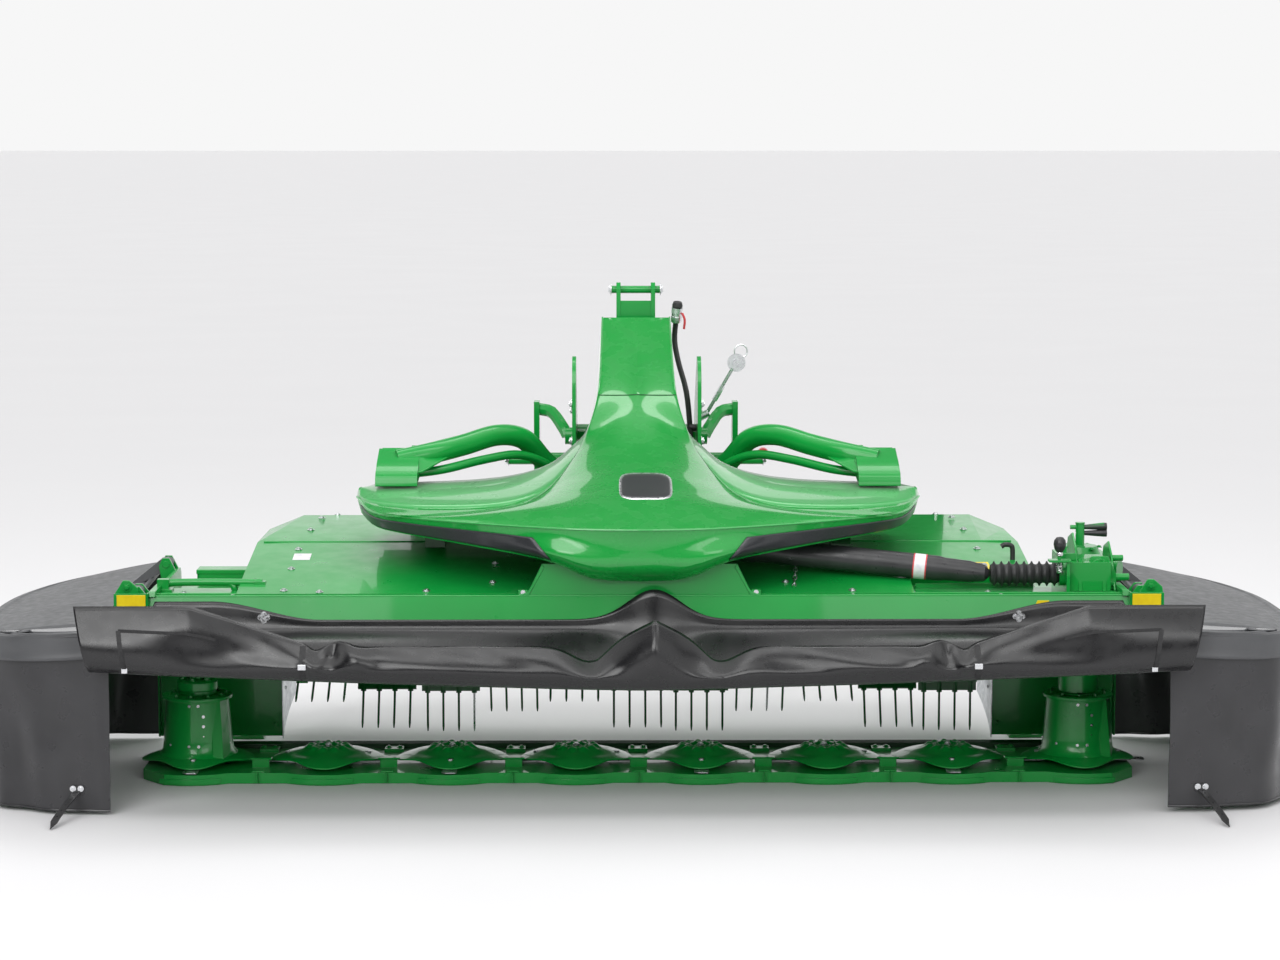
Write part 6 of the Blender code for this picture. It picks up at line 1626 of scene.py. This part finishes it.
# ---- Carrier and hitch ----------------------------------------------------------------------------
# The welded carrier that lifts the mower: a cross beam under the wings, bent tube arms with saddle
# plates, two headstock plates, the mast with its top-link ears, and the lower-link plates.
carry("carrier_beam", dark_green_paint)
for node in ("headstock", "top_link_bracket", "carrier_arm_left", "carrier_arm_right",
             "lower_link_bracket_left", "lower_link_bracket_right"):
    carry(node, green_paint)

arm_route = [(0.226, 0.600, 0.830), (0.245, 0.598, 0.845), (0.300, 0.560, 0.900), (0.360, 0.480, 0.975),
             (0.440, 0.400, 0.995), (0.540, 0.310, 0.974), (0.640, 0.230, 0.955), (0.740, 0.205, 0.935)]
form = bmesh.new()
for side in (-1, 1):
    # A smooth sleeve over the bent tube, and the thinner stay that runs beneath it.
    add_tube(form, smooth([(side * x, y, z) for x, y, z in arm_route[1:]], 10), 0.0335, 32)
    add_tube(form, smooth([(side * 0.250, 0.545, 0.850), (side * 0.300, 0.500, 0.900),
                           (side * 0.380, 0.430, 0.930), (side * 0.480, 0.330, 0.925),
                           (side * 0.600, 0.235, 0.905), (side * 0.700, 0.200, 0.895)], 8), 0.014, 16)
    # Saddle cap: a folded plate over the arm's end, sloping down to the wing's tip.
    a, b = sorted((side * 0.672, side * 0.800))
    add_slab(form, [(0.252, 0.958), (0.250, 0.968), (0.150, 0.940), (0.074, 0.909), (0.060, 0.894),
                    (0.058, 0.872), (0.066, 0.870), (0.070, 0.890), (0.082, 0.901), (0.152, 0.931)],
             "X", a, b)
    for x in (side * 0.675, side * 0.797):
        a, b = sorted((x - 0.003, x + 0.003))
        add_slab(form, [(0.062, 0.874), (0.066, 0.898), (0.152, 0.934), (0.246, 0.960), (0.246, 0.900),
                        (0.150, 0.884)], "X", a, b)
make(form, "carrier_arm_sleeves", "frame", green_paint, 40.0, bevel=0.0)
form = bmesh.new()
for side in (-1, 1):
    near, far = side * 0.585, side * 0.700
    web = [(near, 0.235, 0.940), (side * 0.640, 0.262, 0.972), (far, 0.255, 0.972), (far, 0.080, 0.905),
           (side * 0.660, 0.120, 0.905)]
    low = [form.verts.new(p) for p in web]
    high = [form.verts.new((p[0], p[1], p[2] + 0.006)) for p in web]
    form.faces.new(low)
    form.faces.new(high)
    for i in range(5):
        form.faces.new((low[i], low[(i + 1) % 5], high[(i + 1) % 5], high[i]))
make(form, "arm_gussets", "frame", green_paint, bevel=0.002)

bolts("headstock_bolts",
      [((side * 0.2065, y, z), (side, 0, 0)) for side in (-1, 1)
       for y, z in ((0.560, 1.080), (0.560, 0.960), (0.700, 0.830), (0.960, 0.860), (0.940, 0.950),
                    (0.780, 1.040))], radius=0.011, height=0.008)
bolts("link_pin_nuts", [((side * (0.336 + 0.0852), 0.930, 0.860), (side, 0, 0)) for side in (-1, 1)],
      radius=0.012, height=0.010)
bolts("top_link_nuts", [((side * 0.0805, 0.960, 1.425), (side, 0, 0)) for side in (-1, 1)],
      radius=0.013, height=0.008)
form = bmesh.new()
add_turned(form, [(0.0, 0.0), (0.016, 0.0), (0.018, 0.004), (0.016, 0.020), (0.0, 0.022)],
           (0.4220, 0.930, 0.885), (0, -1, 0), 24)
make(form, "link_plate_cap", "frame", red_film)


# ---- Drive ----------------------------------------------------------------------------------------
# The centre gearbox stands on a folded pedestal under the nose. A guarded shaft runs from it to the
# angle gearbox over the right drum, through a ribbed rubber boot.
for node in ("centre_pedestal", "gearbox_centre", "gearbox_right", "adjuster", "shift_lever"):
    carry(node, green_paint)
form = bmesh.new()
for side in (-1, 1):
    foot_line = [(side * 0.283, 0.700), (side * 0.310, 0.640), (side * 0.326, 0.6175), (side * 0.352, 0.6095),
                 (side * 0.352, 0.6055), (side * 0.322, 0.6055), (side * 0.275, 0.690)]
    add_slab(form, foot_line, "Y", -0.4300, -0.4150)
    add_box(form, (side * 0.338 - 0.014, -0.4240, 0.6052), (side * 0.338 + 0.014, -0.3960, 0.6240))
add_box(form, (-0.320, -0.4300, 0.6055), (0.320, -0.4262, 0.6110))
make(form, "pedestal_feet", "frame", green_paint, bevel=0.002)
bolts("pedestal_bolts", [((side * x, -0.4245, z), (0, -1, 0)) for side in (-1, 1)
                         for x, z in ((0.338, 0.6165),)], radius=0.0045, height=0.003)

black_plastic, nodes, links, shader = new_material("black_plastic", (0.020, 0.020, 0.022), 0.34)
spot = nodes.new("ShaderNodeTexCoord").outputs["Object"]
tinted(nodes, links, shader, ranged(nodes, links, add_noise(nodes, links, spot, 15.0), 0.0, 1.0),
       (0.016, 0.016, 0.018), (0.030, 0.030, 0.032))
links.new(ranged(nodes, links, add_noise(nodes, links, spot, 35.0), 0.26, 0.46),
          shader.inputs["Roughness"])
bumped(nodes, links, shader, add_noise(nodes, links, spot, 500.0), 0.12, 0.0004)
carry("input_guard", black_plastic)

SHAFT_START, SHAFT_END = Vector((0.1706, -0.165, 0.726)), Vector((1.030, -0.300, 0.652))
along_shaft = (SHAFT_END - SHAFT_START).normalized()
shaft_length = (SHAFT_END - SHAFT_START).length
form = bmesh.new()
add_turned(form, [(0.0, 0.0), (0.014, 0.0), (0.028, 0.014), (0.0405, 0.078), (0.0410, 0.110),
                  (0.0402, 0.176), (0.0375, 0.186), (0.0370, 0.240), (0.0370, shaft_length - 0.150),
                  (0.0335, shaft_length - 0.130), (0.0320, shaft_length - 0.060),
                  (0.0240, shaft_length - 0.014), (0.010, shaft_length - 0.0008),
                  (0.0, shaft_length - 0.0008)], SHAFT_START, along_shaft, 48)
make(form, "shaft_guard_tube", "frame", black_plastic, 30.0,
     stands_for=("driveshaft_guard",))
for name, finish, at, width, lift in (("shaft_label_white", white_film, 0.668, 0.040, 0.0006),
                                      ("shaft_label_red_in", red_film, 0.650, 0.004, 0.0010),
                                      ("shaft_label_red_out", red_film, 0.686, 0.004, 0.0010)):
    form = bmesh.new()
    reach = 0.0370 + lift
    add_turned(form, [(0.0366, at - width / 2), (reach, at - width / 2), (reach, at + width / 2),
                      (0.0366, at + width / 2)], SHAFT_START, along_shaft, 48)
    make(form, name, "frame", finish, 30.0)

BOOT_RIBS, BOOT_LENGTH = 9, 0.200
form = bmesh.new()
profile = [(0.0, 0.0), (0.026, 0.0)]
pitch = BOOT_LENGTH / BOOT_RIBS
for rib in range(BOOT_RIBS):
    base = rib * pitch
    profile += [(0.0275, base + 0.10 * pitch), (0.0300, base + 0.30 * pitch), (0.0365, base + 0.46 * pitch),
                (0.0375, base + 0.50 * pitch), (0.0365, base + 0.54 * pitch), (0.0300, base + 0.70 * pitch),
                (0.0275, base + 0.90 * pitch)]
profile += [(0.026, BOOT_LENGTH), (0.0, BOOT_LENGTH)]
add_turned(form, profile, SHAFT_END + Vector((0.0018, 0, 0)), (1, 0, 0), 48)
make(form, "shaft_boot", "frame", black_rubber, 50.0, stands_for=("bellows",))

# Shift lever grips, the adjuster's round knob on a chrome collar with its spring, and bracket plates.
chrome, nodes, links, shader = new_material("chrome", (0.80, 0.80, 0.82), 0.10, 1.0)
spot = nodes.new("ShaderNodeTexCoord").outputs["Object"]
links.new(ranged(nodes, links, add_noise(nodes, links, spot, 50.0), 0.06, 0.16),
          shader.inputs["Roughness"])
form = bmesh.new()
for z, rise in ((0.7593, 0.0030), (0.7415, -0.001)):
    add_turned(form, [(0.0, 0.0), (0.0062, 0.0), (0.0070, 0.006), (0.0112, 0.066), (0.0108, 0.073),
                      (0.0, 0.075)], (1.338, -0.060, z), (1.0, 0, rise * 10), 24)
add_turned(form, [(0.0, 0.000), (0.008, 0.000), (0.0155, 0.010), (0.0185, 0.024), (0.0165, 0.036),
                  (0.010, 0.044), (0.0, 0.046)], (1.228, -0.354, 0.722), (0, 0, 1), 32)
make(form, "lever_grips_and_knob", "frame", black_plastic, 40.0)
form = bmesh.new()
add_turned(form, [(0.0, 0.712), (0.0095, 0.712), (0.0105, 0.716), (0.0080, 0.7225), (0.0, 0.7225)],
           (1.228, -0.354, 0.0), (0, 0, 1), 24)
add_rod(form, (1.302, -0.060, 0.7593), (1.342, -0.060, 0.7593), 0.0052, sides=16)
add_rod(form, (1.318, -0.060, 0.7415), (1.342, -0.060, 0.7415), 0.0052, sides=16)
coil = []
for i in range(97):
    a = math.tau * i / 16
    coil.append(Vector((1.228 + 0.0095 * math.cos(a), -0.354 + 0.0095 * math.sin(a), 0.662 + 0.030 * i / 96)))
add_tube(form, coil, 0.0016, 8)
make(form, "adjuster_bright_parts", "frame", chrome, sharp=40.0)

form = bmesh.new()
for a, b, rise in ((1.285, 1.291, 0.026), (1.392, 1.398, 0.0)):
    add_slab(form, [(-0.335, 0.606), (-0.150, 0.606), (-0.100, 0.665 + rise), (-0.120, 0.712 + rise),
                    (-0.200, 0.735 + rise), (-0.262, 0.700 + rise), (-0.300, 0.640)], "X", a, b)
add_rod(form, (1.352, -0.318, 0.672), (1.352, -0.302, 0.672), 0.026)
add_rod(form, (1.352, -0.326, 0.672), (1.352, -0.318, 0.672), 0.014)
add_slab(form, [(1.305, 0.606), (1.402, 0.606), (1.402, 0.650), (1.378, 0.704), (1.328, 0.704),
                (1.305, 0.650)], "Y", -0.310, -0.302)
add_slab(form, [(1.215, 0.690), (1.285, 0.690), (1.285, 0.712), (1.245, 0.712)], "Y", -0.300, -0.294)
add_rod(form, (1.395, -0.240, 0.690), (1.432, -0.240, 0.690), 0.009)
add_rod(form, (1.395, -0.290, 0.640), (1.442, -0.290, 0.640), 0.011)
add_box(form, (1.318, -0.078, 0.699), (1.344, -0.042, 0.704))
add_rod(form, (1.331, -0.060, 0.700), (1.331, -0.060, 0.770), 0.0135)
add_rod(form, (1.331, -0.060, 0.770), (1.331, -0.060, 0.774), 0.0150)
make(form, "shift_bracket", "frame", green_paint, 40.0, bevel=0.0015)
bolts("shift_bracket_bolts",
      [((1.318, -0.3105, 0.625), (0, -1, 0)), ((1.388, -0.3105, 0.625), (0, -1, 0)),
       ((1.2915, -0.215, 0.650), (1, 0, 0)), ((1.3985, -0.200, 0.690), (1, 0, 0))],
      radius=0.0075, height=0.006, finish=green_paint)
bolts("right_gearbox_lid_bolts",
      circle_places(1.336, -0.030, 0.694, 0.058, [math.tau * k / 6 for k in range(6)], (0, 0, 1))
      + [((x, y, 0.6722), (0, 0, 1)) for x in (1.285, 1.400) for y in (-0.150, 0.065)],
      radius=0.0065, height=0.005, finish=green_paint)
bolts("centre_gearbox_bolts",
      [((x, y, 0.8022), (0, 0, 1)) for x in (-0.080, 0.010, 0.100) for y in (-0.243, -0.102)],
      radius=0.0065, height=0.005, finish=green_paint)


# ---- Tool box, chain and hoses --------------------------------------------------------------------
# A long tool box with a hinged lid on the left side wall, a safety chain from the carrier to the
# deck, and the fold hose with its coupler clipped beside the neck.
carry("tool_box", green_paint)
form = bmesh.new()
add_box(form, (-1.3820, 0.3185, 0.5655), (-1.1720, 0.4015, 0.5800))
add_box(form, (-1.2100, 0.3080, 0.5560), (-1.1960, 0.3200, 0.5740))
add_box(form, (-1.1700, 0.300, 0.5500), (-1.1640, 0.372, 0.6120))
make(form, "tool_box_lid", "frame", green_paint, bevel=0.0025)
form = bmesh.new()
for k in range(6):
    add_turned(form, [(0.0, 0.0), (0.016, 0.0), (0.020, 0.004), (0.016, 0.008), (0.0, 0.008)],
               (-1.190 + 0.0, 0.300, 0.552 + 0.0085 * k), (0, 0, 1), 20)
make(form, "tool_box_grip", "frame", black_rubber)
bolts("tool_box_bolts", [((-1.155, 0.2995, 0.640), (0, -1, 0)), ((-1.155, 0.2995, 0.560), (0, -1, 0))],
      radius=0.007, finish=green_paint)

carry("hydraulic_hose", black_rubber)
form = bmesh.new()
add_turned(form, [(0.0, 0.0), (0.0165, 0.0), (0.0175, 0.004), (0.0175, 0.020), (0.0150, 0.022),
                  (0.0150, 0.030), (0.0180, 0.032), (0.0180, 0.050), (0.0, 0.050)],
           (0.132, 0.880, 1.322), (0.08, -0.25, 1.0), 32)
make(form, "hose_coupler_sleeve", "frame", bare_steel, sharp=30.0)
form = bmesh.new()
add_turned(form, [(0.0, 0.0), (0.0165, 0.0), (0.0175, 0.005), (0.0140, 0.016), (0.0, 0.018)],
           (0.136, 0.8665, 1.373), (0.08, -0.25, 1.0), 32)
make(form, "hose_coupler_cap", "frame", black_rubber, 40.0)
form = bmesh.new()
add_tube(form, smooth([(0.152, 0.862, 1.352), (0.160, 0.860, 1.330), (0.158, 0.866, 1.300)], 8), 0.004, 10)
make(form, "hose_coupler_pin", "frame", red_film)

# The lifting-chain rod: a bright stalk with a round plate and a ring at its upper end.
form = bmesh.new()
start, end = Vector((0.2320, 0.865, 1.020)), Vector((0.318, 0.850, 1.172))
add_rod(form, start, end, 0.0062, sides=16)
add_rod(form, start.lerp(end, 0.30), start.lerp(end, 0.62), 0.0090, sides=6)
add_rod(form, (0.330, 0.846, 1.190), (0.330, 0.856, 1.190), 0.030, sides=32)
add_rod(form, (0.330, 0.840, 1.190), (0.330, 0.860, 1.190), 0.013, sides=24)
ring = [Vector((0.345 + 0.021 * math.cos(a), 0.851, 1.228 + 0.021 * math.sin(a)))
        for a in (math.tau * i / 40 for i in range(41))]
add_tube(form, ring, 0.0028, 10)
add_rod(form, (0.2070, 0.865, 1.006), (0.2400, 0.865, 1.024), 0.013, sides=20)
make(form, "lift_pin", "frame", bare_steel, sharp=35.0)

# The safety chain: wire links hung between the carrier beam and the deck.
form = bmesh.new()
upper = Vector((0.474, 0.062, 0.758))
chain = smooth([upper, (0.474, -0.020, 0.706), (0.470, -0.120, 0.668), (0.462, -0.240, 0.645),
                (0.452, -0.350, 0.6120)], 12)
count = 0
for i in range(0, len(chain) - 3, 3):
    a, b = chain[i], chain[i + 3]
    ahead = (b - a).normalized()
    side = ahead.cross(Vector((0, 0, 1))).normalized()
    wide = side if count % 2 else side.cross(ahead)
    half = (b - a).length * 0.62
    middle = (a + b) / 2 + Vector((0, 0, 0.006))
    loop = [middle + ahead * half * math.cos(t) + wide * 0.0055 * math.sin(t)
            for t in (math.tau * k / 18 for k in range(19))]
    add_tube(form, loop, 0.0017, 8)
    count += 1
make(form, "safety_chain", "frame", bare_steel, sharp=60.0)
